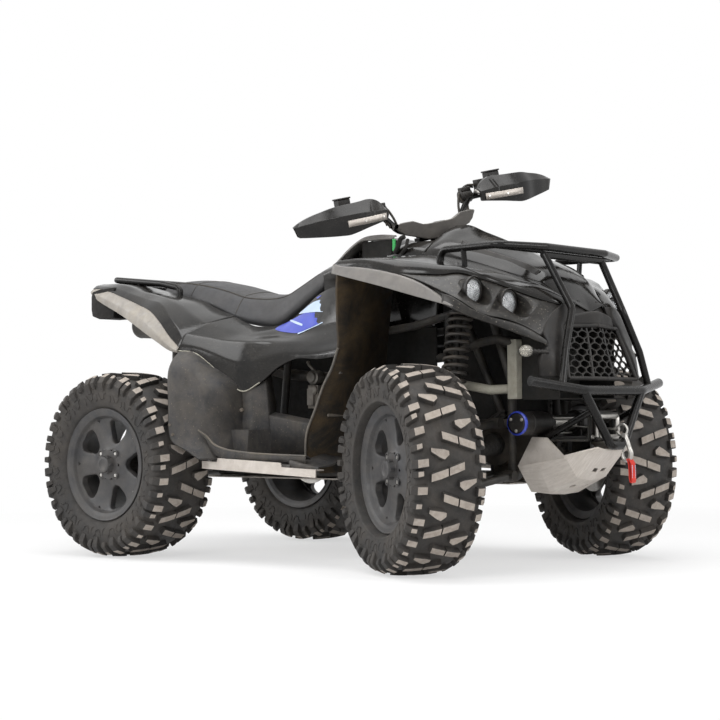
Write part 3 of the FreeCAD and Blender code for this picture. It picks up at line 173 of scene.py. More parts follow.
paint = {
    "tyre": surface("tyre", "1f1e1d", "2b2928", 0.68, dust="756c62", dustAmount=0.28, dustScale=7,
                    upward=0.25, specks=0.2, bump=0.3, grain=420),
    "lugTop": surface("lug_top", "877e76", "a59c93", 0.85, scale=60, dust="b0a69b", dustAmount=0.6,
                      upward=0.1, bump=0.4, grain=300),
    "rim": surface("rim", "2b2b2d", "353537", 0.42, dust="6f685f", dustAmount=0.35, dustScale=11, upward=0.2,
                   specks=0.25, wear="77777a", wearAmount=0.2),
    "steel": surface("frame_steel", "171717", "222120", 0.5, dust="6d6355", dustAmount=0.45, dustScale=12,
                     upward=0.5, specks=0.3),
    "dusty": surface("dusty_alloy", "4a4743", "5f5a54", 0.55, 0.5, dust="85796a", dustAmount=0.65,
                     dustScale=15, upward=0.3, specks=0.3),
    "engine": surface("engine_alloy", "6d6a66", "8a8681", 0.5, 0.7, dust="7c705f", dustAmount=0.55,
                      dustScale=16, upward=0.3),
    "spring": surface("spring_steel", "1b1a1a", "292725", 0.45, dust="7c7163", dustAmount=0.7, dustScale=20,
                      upward=0.6),
    "gloss": surface("gloss_body", "0b0a09", "100f0e", 0.1, dust="6d675f", dustAmount=0.12, dustScale=7,
                     upward=0.3, specks=0.16, shine=0.34, bump=0.015),
    "plastic": surface("black_plastic", "141313", "1c1a19", 0.42, dust="6b6358", dustAmount=0.16,
                       dustScale=11, upward=0.4, specks=0.3, bump=0.25, grain=900, shine=0.3),
    # near-black and rough: the darkest real parts, and painted shade where dark boxes and plates close
    # hollows, openings and pockets
    "cavity": surface("cavity", "0b0b0b", "121211", 0.85, dust="4b443a", dustAmount=0.3, dustScale=9,
                      upward=0.5),
    "band": surface("front_band", "5f5c5a", "716e6b", 0.36, dust="878178", dustAmount=0.4, upward=0.3,
                    specks=0.3, bump=0.2),
    "lampPanel": surface("lamp_panel", "100f0e", "181614", 0.34, dust="8f887d", dustAmount=0.12, dustScale=30,
                         upward=0.5, specks=0.75, bump=0.2, grain=900, shine=0.34),
    "tailBand": surface("rear_band", "827d77", "97928b", 0.45, dust="a79d8c", dustAmount=0.5, dustScale=10,
                        upward=0.3, specks=0.4, bump=0.2),
    "grey": surface("grey_plastic", "45433f", "575450", 0.6, dust="8a7f70", dustAmount=0.6, dustScale=7,
                    upward=0.2, specks=0.4, bump=0.2),
    "guard": surface("footwell_plastic", "2c2c2d", "3d3c3d", 0.5, dust="857b6c", dustAmount=0.24,
                     dustScale=13, upward=0.1, specks=0.45, bump=0.3, stretch=(1, 1, 0.4), shine=0.32),
    "flap": surface("mud_flap", "14110e", "1d1914", 0.6, dust="5a4a34", dustAmount=0.7, dustScale=9,
                    upward=0.05, specks=0.4, bump=0.3, stretch=(1, 1, 0.3), shine=0.3),
    "bone": surface("pale_plastic", "a3a092", "b4b1a4", 0.6, dust="6e6454", dustAmount=0.5, dustScale=14,
                    upward=0.1, specks=0.4, bump=0.2),
    "pad": surface("bar_cover", "4b4947", "5b5855", 0.5, dust="8f877c", dustAmount=0.35, dustScale=6,
                   upward=0.4, specks=0.1, bump=0.25, grain=900),
    "tube": surface("black_tube", "0b0b0b", "121111", 0.2, dust="746c62", dustAmount=0.08, dustScale=10,
                    specks=0.1, wear="5d5d5f", wearAmount=0.1, shine=0.22),
    "bright": surface("bright_steel", "a7a5a1", "c2c0bc", 0.3, 0.95, dust="8a7f70", dustAmount=0.35,
                      dustScale=30, upward=0.2),
    "sheet": surface("guard_aluminium", "bdb5ad", "cdc6be", 0.45, 0.3, dust="968b7b", dustAmount=0.3,
                     dustScale=10, upward=0.3, specks=0.3, stretch=(1, 8, 1)),
    "vinyl": surface("seat_vinyl", "29292b", "343436", 0.5, dust="6c665e", dustAmount=0.16, dustScale=5,
                     upward=0.4, bump=0.35, grain=600, weave=900),
    "rubber": surface("rubber", "1a1918", "242321", 0.62, dust="6f6557", dustAmount=0.5, dustScale=14,
                      upward=0.4, specks=0.3, bump=0.3),
    "red": surface("red_webbing", "c02418", "d93c2a", 0.6, scale=90, bump=0.6, grain=1500),
    "blue": surface("blue_film", "1d38b4", "182fa0", 0.3, scale=8, dust="8a8a90", dustAmount=0.15, coat=0.6),
    "white": surface("pale_film", "b9cbe2", "a8bdd8", 0.35, scale=8, dust="8f8b84", dustAmount=0.25,
                     coat=0.5),
    "green": surface("green_tab", "2f9a4c", "3cae5c", 0.5, scale=40),
    "silver": surface("reflector", "d4d4d4", "eeeeee", 0.1, 1.0, scale=60, bump=0.05),
}


def glassOf(name, colour, shade, rough, alpha, bump=0.3, grain=160):
    # a clear lens with faint streaks in its tint and a prismatic relief
    n = Nodes(bpy.data.materials.new(name))
    tint = n.mix(n.span(n.noise(14, 4), 0.35, 0.7), tone(colour), tone(shade))
    wave = n.add("TexWave", {"Vector": n.place}, Scale=grain, Distortion=0.2).outputs["Fac"]
    relief = n.add("Bump", {"Height": wave}, Strength=bump, Distance=0.0008)
    roughness = n.span(n.noise(30, 3), 0.3, 0.7, rough, rough + 0.08)
    shader = n.add("BsdfPrincipled",
                   {"Base Color": tint, "Roughness": roughness, "Normal": relief.outputs[0]},
                   Alpha=alpha, Transmission_Weight=0.6, IOR=1.45, Coat_Weight=1.0)
    n.add("OutputMaterial", {"Surface": shader.outputs[0]})
    return n.owner


paint["glass"] = glassOf("lamp_glass", "f4f6f8", "d9dde0", 0.03, 0.45)
paint["amber"] = glassOf("indicator_glass", "ece9e2", "d8d2c4", 0.08, 0.7)
paint["tail"] = glassOf("tail_glass", "5a1712", "7a3a24", 0.15, 0.95)
print("materials ready")


# Geometry. A block is its points in millimetres, its faces and the number of its material

def unit(way):
    # each direction divided by its length
    way = np.asarray(way, float)
    return way / np.linalg.norm(way, axis=-1, keepdims=True)


def skinOf(points, which=0, closedRows=False, closedColumns=False):
    # quads between neighbouring rows and columns of (rows, columns, 3) points
    points = np.asarray(points, float)
    rows, columns = points.shape[:2]
    number = np.arange(rows * columns).reshape(rows, columns)
    if closedRows:
        number = np.vstack([number, number[:1]])
    if closedColumns:
        number = np.hstack([number, number[:, :1]])
    quads = np.stack([number[:-1, :-1], number[1:, :-1], number[1:, 1:], number[:-1, 1:]], -1)
    return points.reshape(-1, 3), quads.reshape(-1, 4).tolist(), which


def ringed(points, which=0, caps=True):
    # a skin over closed rings, (rings, sides, 3), with flat ends
    rings, sides = np.shape(points)[:2]
    flat, quads, which = skinOf(points, which, closedColumns=True)
    if caps:
        quads += [list(range(sides)), list(range((rings - 1) * sides, rings * sides))[::-1]]
    return flat, quads, which


def rounded(path, bend, steps=7):
    # each corner replaced by an arc of the bend radius, shortened where its runs are short
    path = np.asarray(path, float)
    bends = np.broadcast_to(bend, len(path) - 2)
    line = [path[:1]]
    for before, corner, after, radius in zip(path, path[1:], path[2:], bends):
        back, on = unit(before - corner), unit(after - corner)
        turn = math.pi - math.acos(np.clip(back @ on, -1, 1))
        if turn < 0.02 or radius == 0:
            line.append(corner[None])
            continue
        longest = 0.49 * min(np.linalg.norm(before - corner), np.linalg.norm(after - corner))
        reach = min(radius * math.tan(turn / 2), longest)
        radius = reach / math.tan(turn / 2)
        centre = corner + unit(back + on) * radius / math.cos(turn / 2)
        first, last = corner + back * reach - centre, corner + on * reach - centre
        part = np.linspace(0, 1, steps)[:, None]
        way = np.sin((1 - part) * turn) * first + np.sin(part * turn) * last
        line.append(centre + way / math.sin(turn))
    return np.concatenate(line + [path[-1:]])


def spline(knots, values, at):
    # cubic Hermite curve through the values, with slopes from each one's neighbours
    knots, values, at = (np.asarray(v, float) for v in (knots, values, at))
    slopes = np.gradient(values, knots, axis=0)
    first = np.clip(np.searchsorted(knots, at, side="right") - 1, 0, len(knots) - 2)
    shape = (-1,) + (1,) * (values.ndim - 1)
    gap = (knots[first + 1] - knots[first]).reshape(shape)
    t = ((at - knots[first]).reshape(shape)) / gap
    return ((2 * t ** 3 - 3 * t ** 2 + 1) * values[first] + (t ** 3 - 2 * t ** 2 + t) * gap * slopes[first]
            + (3 * t ** 2 - 2 * t ** 3) * values[first + 1] + (t ** 3 - t ** 2) * gap * slopes[first + 1])


def flowing(points, count=24):
    # a smooth line through the points, evenly divided by their distance
    points = np.asarray(points, float)
    knots = np.concatenate([[0], np.cumsum(np.linalg.norm(np.diff(points, axis=0), axis=1))])
    return spline(knots, points, np.linspace(0, knots[-1], count))


def tube(path, radius, bend=0, sides=16, which=0, caps=True):
    # rings about the path: point + radius (side cos t + up sin t)
    path = rounded(path, bend) if np.any(bend) else np.asarray(path, float)
    along = unit(np.gradient(path, axis=0))
    reference = np.eye(3)[np.argmin(np.abs(along).max(0))]
    side = unit(np.cross(along, reference))
    up = np.cross(side, along)
    turn = np.linspace(0, 2 * math.pi, sides, endpoint=False)[None, :, None]
    radius = np.broadcast_to(radius, len(path))[:, None, None]
    out = side[:, None] * np.cos(turn) + up[:, None] * np.sin(turn)
    return ringed(path[:, None] + radius * out, which, caps)


def spun(profile, turn):
    # (along, radius cos t, radius sin t) for each point of the profile and each angle
    along, radius = profile[:, :1], profile[:, 1:]
    return np.stack(np.broadcast_arrays(along, radius * np.cos(turn), radius * np.sin(turn)), -1)


def turned(profile, sides=48, which=0, bend=0):
    # a closed profile of (along x, radius) turned about the x axis
    profile = np.asarray(profile, float)
    if np.any(bend):
        profile = rounded(np.column_stack([profile, profile[:, 0] * 0]), bend, 4)[:, :2]
    turn = np.linspace(0, 2 * math.pi, sides, endpoint=False)
    return skinOf(spun(profile, turn), which, closedColumns=True)


def boxed(low, high, which=0):
    # the eight corners between two opposite ones
    x, y, z = np.meshgrid(*zip(low, high), indexing="ij")
    points = np.stack([x, y, z], -1).reshape(-1, 3)
    return points, [[0, 1, 3, 2], [4, 6, 7, 5], [0, 4, 5, 1], [2, 3, 7, 6], [0, 2, 6, 4], [1, 5, 7, 3]], which


def toward(block, place, way, up=(0, 0, 1)):
    # local x along the way, local z as near to up as it can be
    x = unit(way)
    y = unit(np.cross(up, x))
    return block[0] @ np.array([x, y, np.cross(x, y)]) + np.asarray(place, float), block[1], block[2]


def swapped(block):
    # the block on the other side of the centre plane
    return block[0] * [1, -1, 1], block[1], block[2]


def both(blocks):
    # the blocks and their mirror images
    return list(blocks) + [swapped(block) for block in blocks]


def hexagon(levels, which=0):
    # six corners at each level of (along, radius)
    turns = np.arange(6) * math.pi / 3
    return ringed([[(x, r * math.cos(a), r * math.sin(a)) for a in turns] for x, r in levels], which)


def bolt(place, way, size=6, which=0):
    # hexagon head on a washer, both sized by the head's half width
    up = (0.1, 0.2, 1)
    head = hexagon([(0, size), (size * 0.7, size), (size * 0.85, size * 0.8)], which)
    washer = turned([(0, 0), (0, size * 1.5), (1.2, size * 1.45), (1.2, 0)], 14, which)
    return [toward(head, np.asarray(place) + unit(way) * 1.0, way, up), toward(washer, place, way, up)]


def piece(name, blocks, materials, smooth=38, bevel=0, solid=0, sub=0, place=None, hides=(),
          segments=2, inside=-1, body="chassis"):
    # one object from its blocks; millimetres to metres, doubles merged, faces outward
    counts = np.cumsum([0] + [len(block[0]) for block in blocks])
    points = np.concatenate([block[0] for block in blocks])
    if place is not None:
        points = points @ place[0].T + place[1]
    faces = [[i + start for i in face] for block, start in zip(blocks, counts.tolist()) for face in block[1]]
    mesh = bpy.data.meshes.new(name)
    mesh.from_pydata((points * mm).tolist(), [], faces)
    numbers = np.concatenate([np.full(len(block[1]), block[2]) for block in blocks])
    mesh.polygons.foreach_set("material_index", numbers.astype(np.int32))
    work = bmesh.new()
    work.from_mesh(mesh)
    bmesh.ops.remove_doubles(work, verts=work.verts, dist=0.00002)
    bmesh.ops.dissolve_degenerate(work, edges=work.edges, dist=0.000005)
    bmesh.ops.recalc_face_normals(work, faces=work.faces)
    work.to_mesh(mesh)
    work.free()
    mesh.polygons.foreach_set("use_smooth", np.ones(len(mesh.polygons), bool))
    mesh.set_sharp_from_angle(angle=math.radians(smooth))
    obj = bpy.data.objects.new(name, mesh)
    bpy.context.scene.collection.objects.link(obj)
    for key in materials:
        mesh.materials.append(paint[key])
    if solid:
        wall = obj.modifiers.new("wall", "SOLIDIFY")
        wall.thickness, wall.offset, wall.use_even_offset = solid * mm, inside, False
    if bevel:
        edge = obj.modifiers.new("edge", "BEVEL")
        edge.width, edge.segments = bevel * mm, segments
        edge.limit_method, edge.angle_limit = "ANGLE", math.radians(35)
        edge.use_clamp_overlap = True
    if sub:
        finer = obj.modifiers.new("finer", "SUBSURF")
        finer.levels = finer.render_levels = sub
    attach(obj, body)
    if hides:
        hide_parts(*hides)
    return obj


def turnAbout(axis, angle):
    # rotation matrix about an axis, in degrees
    return np.array(Matrix.Rotation(math.radians(angle), 3, Vector(axis)))


# Wheels

wheels = {
    "base": 1331, "frontAxle": 637.5, "radius": 330, "kingpin": 415, "turn": -26.4,
    "front": {"across": 500, "half": 114.5, "rim": 81},
    "rear": {"across": 507, "half": 133, "rim": 115},
}


def wheelName(side, end):
    # as in the frame's names
    return end + ("_left" if side > 0 else "_right")


def wheelPlace(side, end):
    # rotation and centre of a wheel drawn about x, outboard positive; the front ones turn about the kingpin
    spin = turnAbout((0, 0, 1), 90 * side)
    across, radius, kingpin = wheels[end]["across"], wheels["radius"], wheels["kingpin"]
    if end == "rear":
        return spin, np.array([wheels["frontAxle"] - wheels["base"], side * across, radius])
    steer = turnAbout((0, 0, 1), wheels["turn"])
    pin = np.array([wheels["frontAxle"], side * kingpin, 0])
    return steer @ spin, pin + steer @ np.array([0, side * (across - kingpin), radius])


tread = {
    "pairs": 11, "lug": 16.5, "draft": 3.4, "chamfer": 1.2, "sunk": 4, "crown": 313,
    # two parts of the long middle lug, from and to across the tread, and how far they lean along it
    "middle": ((-0.25, 0.13), (0.165, 0.54)), "lean": 42,
    # many sided lug beside it: across, along, half width
    "beside": ((0.13, 54, 7), (0.25, 50, 15.5), (0.36, 54, 13), (0.53, 64, 6.5)),
    # shoulder lugs: along, half width, from and to across
    "shoulder": ((24, 13, 0.60, 1.16), (74, 9, 0.70, 1.02), (122, 13, 0.62, 1.12), (171, 9, 0.70, 1.06)),
    # raised lines on the sidewall: across, along, half width, height
    "steps": ((1.16, -26, 1.8, 2.6), (1.20, -16, 1.8, 2.6), (1.33, -12, 1.8, 2.6), (1.38, 4, 1.8, 2.6),
              (1.30, 16, 1.8, 2.6), (1.18, 22, 1.8, 2.6)),
    "hooks": ((1.22, 38, 1.5, 2.2), (1.34, 34, 1.5, 2.2), (1.42, 44, 1.5, 2.0)),
}


def carcassLine(half, bead):
    # knots of the tyre's outer profile: place across the tread, offset, radius
    return np.array([(0, 0, 313.5), (0.3, half * 0.34, 312.5), (0.55, half * 0.64, 309.5),
                     (0.75, half * 0.84, 302), (0.9, half * 0.95, 289), (1.05, half - 3.5, 270),
                     (1.25, half - 2.5, 246), (1.45, half - 9, 222), (1.6, half - 17, 208),
                     (1.66, bead + 10, 204.5), (1.72, bead + 8, 201.5), (1.8, bead + 4, 196),
                     (2.0, bead, 180)])


def treadPoint(knots, across, angle, height):
    # the profile at |across|, moved out along its normal by the height, and turned to the angle
    sign = np.where(across < 0, -1.0, 1.0)
    at = np.abs(across)
    line = spline(knots[:, 0], knots[:, 1:], at.ravel()).reshape(at.shape + (2,))
    near = spline(knots[:, 0], knots[:, 1:], (at + 0.01).ravel()).reshape(at.shape + (2,))
    slope = unit(near - line)
    offset = (line[..., 0] - slope[..., 1] * height) * sign
    radius = line[..., 1] + slope[..., 0] * height
    return np.stack([offset, radius * np.cos(angle), radius * np.sin(angle)], -1)


def lugs(knots, stations, phase, repeats, mirror=False, which=(0, 1), pale=9):
    # one lug as rows of (across, centre, half width, height), repeated round the tyre
    stations = np.asarray(stations, float)
    across, centre, half, height = stations.T
    sign = -1 if mirror else 1
    draft, chamfer = tread["draft"], tread["chamfer"]
    # across each row: foot, wall, top edge, top edge, wall, foot, as lengths along the tread
    lengths = np.stack([-half - draft, -half - 0.6, -half + chamfer, half - chamfer, half + 0.6,
                        half + draft], 1)
    foot = height * 0 - tread["sunk"]
    heights = np.stack([foot, height - chamfer, height, height, height - chamfer, foot], 1)
    angle = (centre[:, None] + lengths) / tread["crown"]
    turn = (np.arange(repeats) + phase) * 2 * math.pi / repeats
    angle = angle[None] + turn[:, None, None]
    grid = treadPoint(knots, np.broadcast_to(across[:, None] * sign, lengths.shape)[None] + angle * 0, angle,
                      np.broadcast_to(heights, angle.shape))
    blocks = []
    for one in grid:
        rows = len(one)
        points, quads = skinOf(one, which[0])[:2]
        ends = [list(range(6)), list(range((rows - 1) * 6, rows * 6))[::-1]]
        top = (np.tile(np.arange(5), rows - 1) == 2) & (np.repeat(np.arange(rows - 1), 5) < pale)
        tops = [quad for quad, isTop in zip(quads, top) if isTop]
        walls = [quad for quad, isTop in zip(quads, top) if not isTop]
        blocks += [(points, tops, which[1]), (points, walls + ends, which[0])]
    return blocks


def makeTyre(side, end):
    # the carcass as one closed skin, and its lugs on both halves of the tread, half a pitch apart
    half, rim = wheels[end]["half"], wheels[end]["rim"]
    bead = min(rim - 15, half - 20)
    knots = carcassLine(half - 1.5, bead)
    across = np.linspace(-2, 2, 121)
    turn = np.linspace(0, 2 * math.pi, 144, endpoint=False)
    level = np.zeros((len(across), len(turn)))
    outer = treadPoint(knots, across[:, None] + level, turn + level, level)
    seat = np.array([(bead, 180), (bead - 9, 178), (bead - 14, 178.5), (0, 178.5), (14 - bead, 178.5),
                     (9 - bead, 178), (-bead, 180)])
    blocks = [skinOf(np.concatenate([outer, spun(seat, turn)[1:-1]]), 0, True, True)]
    pairs, tall = tread["pairs"], tread["lug"]
    lean = tread["lean"] * half / wheels["front"]["half"]
    for flip in (False, True):
        phase = 0.5 if flip else 0.0
        for start, stop in tread["middle"]:
            line = [(at, (0.15 - at) * lean, wide, high) for at, wide, high in
                    ((start, 12, tall), ((start + stop) / 2, 12.5, tall), (stop, 12, tall - 0.5))]
            blocks += lugs(knots, line, phase, pairs, flip)
        blocks += lugs(knots, [(*row, tall) for row in tread["beside"]], phase, pairs, flip)
        for along, wide, start, stop in tread["shoulder"]:
            line = [(start, along + 4, wide - 1, tall), (0.80, along + 1, wide, tall),
                    (0.92, along - 1, wide, tall - 1), (1.0, along - 2, wide - 1, tall * 0.62),
                    (stop, along - 3, wide - 3, 2.6)]
            blocks += lugs(knots, line, phase, pairs, flip, pale=1)
        for along in (24, 122):
            for mark in ("steps", "hooks"):
                line = [(at, along + more, wide, high) for at, more, wide, high in tread[mark]]
                blocks += lugs(knots, line, phase, pairs, flip, (0, 0))
    name = wheelName(side, end)
    return piece("tyre_" + name + "_tread", blocks, ["tyre", "lugTop"], smooth=32,
                 place=wheelPlace(side, end), hides=("tyre_" + name,), body="wheel_" + name)


rimShape = {
    "spokes": 5, "barrel": 164, "hub": 52, "inset": 28, "web": 25, "dish": 7, "bolts": 4, "boltCircle": 54,
    # corners of a window, and the point inside it from which its edge is followed out
    "window": ((79, 0), (84, 13), (104, 27), (128, 40), (146, 44), (157, 32), (160, 0), (157, -32),
               (146, -44), (128, -40), (104, -27), (84, -13), (79, 0)),
    "middle": (122, 0),
    # loops from behind the window's edge, over it, to the boundary: share of the way and height on the face
    "loops": ((0.0, -24), (0.0, -12), (0.0, -5), (0.03, -2.2), (0.10, -0.6), (0.22, 0), (0.45, 0.6),
              (0.72, 1.4), (1.0, 2.0)),
}


def spokeFace(face):
    # one fifth of the rim's face about a window. Along each ray from its middle the face ends at the hub
    # circle, the barrel or the line half way to the next window, whichever is nearest
    barrel, hub = rimShape["barrel"], rimShape["hub"]
    window = flowing(rimShape["window"], 49)[:-1]
    middle = np.array(rimShape["middle"], float)
    way = unit(window - middle)
    back = way @ middle
    far = 1e9
    reach = [-back + np.sqrt(back ** 2 - middle @ middle + barrel ** 2)]
    inward = back ** 2 - middle @ middle + hub ** 2
    reach.append(np.where((inward > 0) & (back < 0), -back - np.sqrt(np.maximum(inward, 0)), far))
    half = math.pi / rimShape["spokes"]
    for sign in (-1, 1):
        across = np.array([-math.sin(half) * sign, math.cos(half)])
        speed = way @ across
        met = -(middle @ across) / np.where(np.abs(speed) < 1 / far, 1 / far, speed)
        reach.append(np.where(met > 0, met, far))
    edge = middle + way * np.min(reach, axis=0)[:, None]
    share, lift = (np.array(values)[:, None] for values in zip(*rimShape["loops"]))
    flat = window + (edge - window) * share[..., None]
    radius = np.linalg.norm(flat, axis=-1)
    dish = -rimShape["dish"] * np.sin(np.clip((radius - hub) / (barrel - hub), 0, 1) * math.pi)
    height = face + lift + dish + 3.0 * np.clip((60 - radius) / 8, 0, 1)
    behind = np.full(height[:1].shape, face - float(rimShape["web"]))
    return np.dstack([np.concatenate([behind, height]), np.concatenate([flat[:1], flat])])


def makeRim(side, end):
    # five equal parts of the face, the cap, the drum with its flanges, the hub and disc behind, and the nuts
    half = wheels[end]["rim"]
    face, barrel = half - rimShape["inset"], rimShape["barrel"]
    spoke = spokeFace(face)
    blocks = []
    for number in range(rimShape["spokes"]):
        turn = turnAbout((1, 0, 0), 360 / rimShape["spokes"] * number)
        blocks.append(skinOf(spoke @ turn.T, 0, closedColumns=True))
    hubFace = face + 5
    cap = [(0, 52), (0.6, 40), (0.6, 33), (3, 31.5), (20, 30), (25, 27), (26, 20), (24, 17), (24, 0)]
    blocks.append(turned([(hubFace + along, radius) for along, radius in cap], 60))
    # castellations round the cap
    points, faces, which = boxed((hubFace + 4, 27.5, -5), (hubFace + 19, 32.6, 5))
    for angle in range(0, 360, 60):
        blocks.append((points @ turnAbout((1, 0, 0), angle).T, faces, which))
    outside = [(16, 170.5), (10, 174), (5, 185), (2.5, 195), (0.5, 198.2), (3.5, 200.2), (8, 200), (11, 196),
               (14, 181), (26, 177.5)]
    inside = [(26, 177.5), (14, 181), (11, 196), (8, 200), (3, 200), (0.5, 198), (4, 186), (12, 173)]
    drum = [(face + 2, barrel), (face + 7, 168), *((half - along, radius) for along, radius in outside),
            *((along - half, radius) for along, radius in inside), (face - 27, 170), (face - 25, barrel),
            (face + 2, barrel)]
    blocks.append(turned(drum, 96, bend=1.5))
    # inside of the hub, the disc and its bolts
    blocks.append(turned([(face - 25, 0), (face - 25, 60), (-36, 44), (-50, 38), (-50, 0)], 48, 1))
    blocks.append(turned([(-36, 44), (-36, 104), (-31, 104), (-31, 44)], 72, 2, bend=0))
    for number in range(rimShape["bolts"]):
        turn = turnAbout((1, 0, 0), 45 + 360 / rimShape["bolts"] * number)
        hole = turned([(hubFace - 3, 0), (hubFace - 3, 9.5), (hubFace + 0.9, 9.5), (hubFace + 1.6, 11.5),
                       (hubFace + 0.3, 13.5), (hubFace - 2, 13.5)], 24, 0)
        well = turned([(hubFace - 1.5, 0), (hubFace - 1.5, 9.6)], 24, 3)
        nut = hexagon([(hubFace - 1.5, 6.6), (hubFace + 0.4, 6.2)], 2)
        for points, faces, which in (hole, well, nut):
            blocks.append(((points + [0, rimShape["boltCircle"], 0]) @ turn.T, faces, which))
    name = wheelName(side, end)
    return piece("rim_" + name + "_spokes", blocks, ["rim", "steel", "bright", "rubber"], smooth=35,
                 place=wheelPlace(side, end), hides=("rim_" + name,),
                 body="wheel_" + name)


for end in ("front", "rear"):
    for side in (-1, 1):
        makeTyre(side, end)
        makeRim(side, end)
print("wheels built")


# Bodywork

def panel(curves, count=48, soft=8, which=0, steps=4):
    # a skin across lines that run the same way, each corner eased between points at the reach on both sides
    lines = np.stack([flowing(curve, count) for curve in curves], 1)
    reaches = np.broadcast_to(soft, max(len(curves) - 2, 1))
    t = np.linspace(0, 1, steps)[None, :, None]
    columns = [lines[:, :1]]
    for k in range(1, len(curves) - 1):
        corner = lines[:, k:k + 1]
        ends = []
        for other in (lines[:, k - 1:k], lines[:, k + 1:k + 2]):
            run = other - corner
            length = np.maximum(np.linalg.norm(run, axis=-1, keepdims=True), 1e-6)
            ends.append(corner + run / length * np.minimum(reaches[k - 1], 0.46 * length))
        columns.append((1 - t) ** 2 * ends[0] + 2 * t * (1 - t) * corner + t ** 2 * ends[1])
    return skinOf(np.concatenate(columns + [lines[:, -1:]], 1), which)


def curvesOf(stations):
    # station lines across, by distance forward, as lines that run forward
    return runs([[(x, y, z) for y, z in line] for x, line in stations])


def runs(rows):
    # rows of points across, turned into lines from row to row
    return np.array(rows, float).transpose(1, 0, 2)


def moved(curve, way):
    # every point of the curve shifted
    return np.asarray(curve, float) + way


def wall(name, lines, count, soft, material, smooth=30, solid=4, slot="black_plastic", hides=()):
    # a skin across the lines, its mirror image, and a thickness
    return piece(name, both([panel(lines, count, soft)]), [material], smooth, solid=solid,
                 hides=hides)


seam = np.array([(300, -190, 1028), (420, -190, 1030), (520, -190, 1024), (620, -190, 1000), (775, -175, 950),
                 (870, -150, 915), (955, -82, 852)], float)
fender = {
    "low": [(302, -516, 958), (332, -520, 951), (433, -525, 926), (516, -525, 905), (594, -522, 883),
            (667, -513, 862), (735, -500, 842), (775, -493, 831)],
    "bandTop": [(300, -505, 988), (336, -507, 980), (417, -508, 970), (503, -510, 955), (581, -506, 935),
                (658, -502, 905), (731, -496, 862), (776, -493, 832)],
    "groove": [(300, -499, 990), (336, -501, 983), (417, -502, 973), (503, -504, 959), (583, -496, 943),
               (635, -474, 942), (687, -438, 939), (727, -390, 945), (781, -352, 926), (820, -294, 905),
               (866, -256, 882), (905, -218, 863), (953, -150, 843), (956, -96, 842)],
    "crease": [(300, -478, 1003), (400, -480, 1004), (476, -476, 997), (548, -464, 988), (612, -443, 979),
               (667, -411, 970), (715, -370, 965), (773, -338, 944), (812, -283, 922), (860, -246, 899),
               (902, -205, 879), (945, -145, 860), (954, -92, 853)],
    "middle": [(300, -330, 1010), (420, -330, 1018), (520, -318, 1016), (620, -298, 994), (700, -275, 972),
               (775, -250, 950), (820, -232, 932), (870, -212, 910), (920, -160, 882), (954, -87, 855)],
    "panelLow": [(583, -500, 941), (650, -492, 917), (724, -486, 885), (786, -468, 852), (813, -450, 830),
                 (837, -431, 811), (858, -408, 802), (877, -382, 797), (912, -326, 778), (948, -262, 742)],
    "panelTop": [(585, -492, 944), (635, -468, 940), (687, -432, 936), (727, -384, 941), (781, -346, 921),
                 (820, -288, 901), (866, -250, 878), (905, -212, 860), (935, -176, 848), (951, -150, 836)],
    "plateLow": [(740, -499, 842), (775, -490, 824), (800, -470, 808), (830, -440, 792), (868, -398, 774),
                 (900, -348, 754), (930, -300, 734), (952, -255, 716), (965, -222, 704)],
    "plateTop": [(740, -494, 872), (765, -482, 864), (786, -470, 850), (813, -452, 828), (858, -410, 800),
                 (890, -365, 787), (915, -322, 774), (942, -275, 748), (962, -232, 720)],
}


lamp = {"radius": 40, "length": 60, "way": (1, -0.02, -0.03), "gap": 5,
        "fronts": ((787, -393, 884), (853, -298, 846))}


def finished(obj):
    # the object as its modifiers leave it
    bpy.context.view_layer.update()
    return obj.evaluated_get(bpy.context.evaluated_depsgraph_get())


def settle(obj):
    # the modifiers' result becomes the object's own mesh
    result = bpy.data.meshes.new_from_object(finished(obj))
    obj.modifiers.clear()
    obj.data = result


def pierced(obj):
    # holes for the lamps in the finished wall, and a collar in each from the lens out to the wall
    skin = finished(obj)
    turns = np.linspace(0, 2 * math.pi, 49)
    radius = lamp["radius"] + lamp["gap"]
    collars, cutters = [], []
    for x, y, z in lamp["fronts"]:
        rim = []
        for turn in turns:
            across, up = y + radius * math.cos(turn), z + radius * math.sin(turn)
            found, hit = skin.ray_cast((1.6, across * mm, up * mm), (-1, 0, 0))[:2]
            rim.append((max(hit[0] / mm if found else x, x + 2) + 1, across, up))
        rim = np.array(rim)
        inside = radius - 2
        foot = [(x - 14, y + inside * math.cos(turn), z + inside * math.sin(turn)) for turn in turns]
        flare = rim + (rim - [x, y, z]) * [0, 0.05, 0.05] - [2, 0, 0]
        collars.append(skinOf(np.stack([foot, rim, flare], 1)))
        cutters.append(toward(turned([(-20, 0), (-20, radius), (200, radius), (200, 0)], 48), (x, y, z),
                              (1, 0, 0)))
    tool = piece("lamp_cutter", both(cutters), ["plastic"], 30)
    hole = obj.modifiers.new("hole", "BOOLEAN")
    hole.object, hole.operation, hole.solver = tool, "DIFFERENCE", "EXACT"
    settle(obj)
    bpy.data.objects.remove(tool)
    piece("lamp_collars", both(collars), ["lampPanel"], 30, solid=2.5)


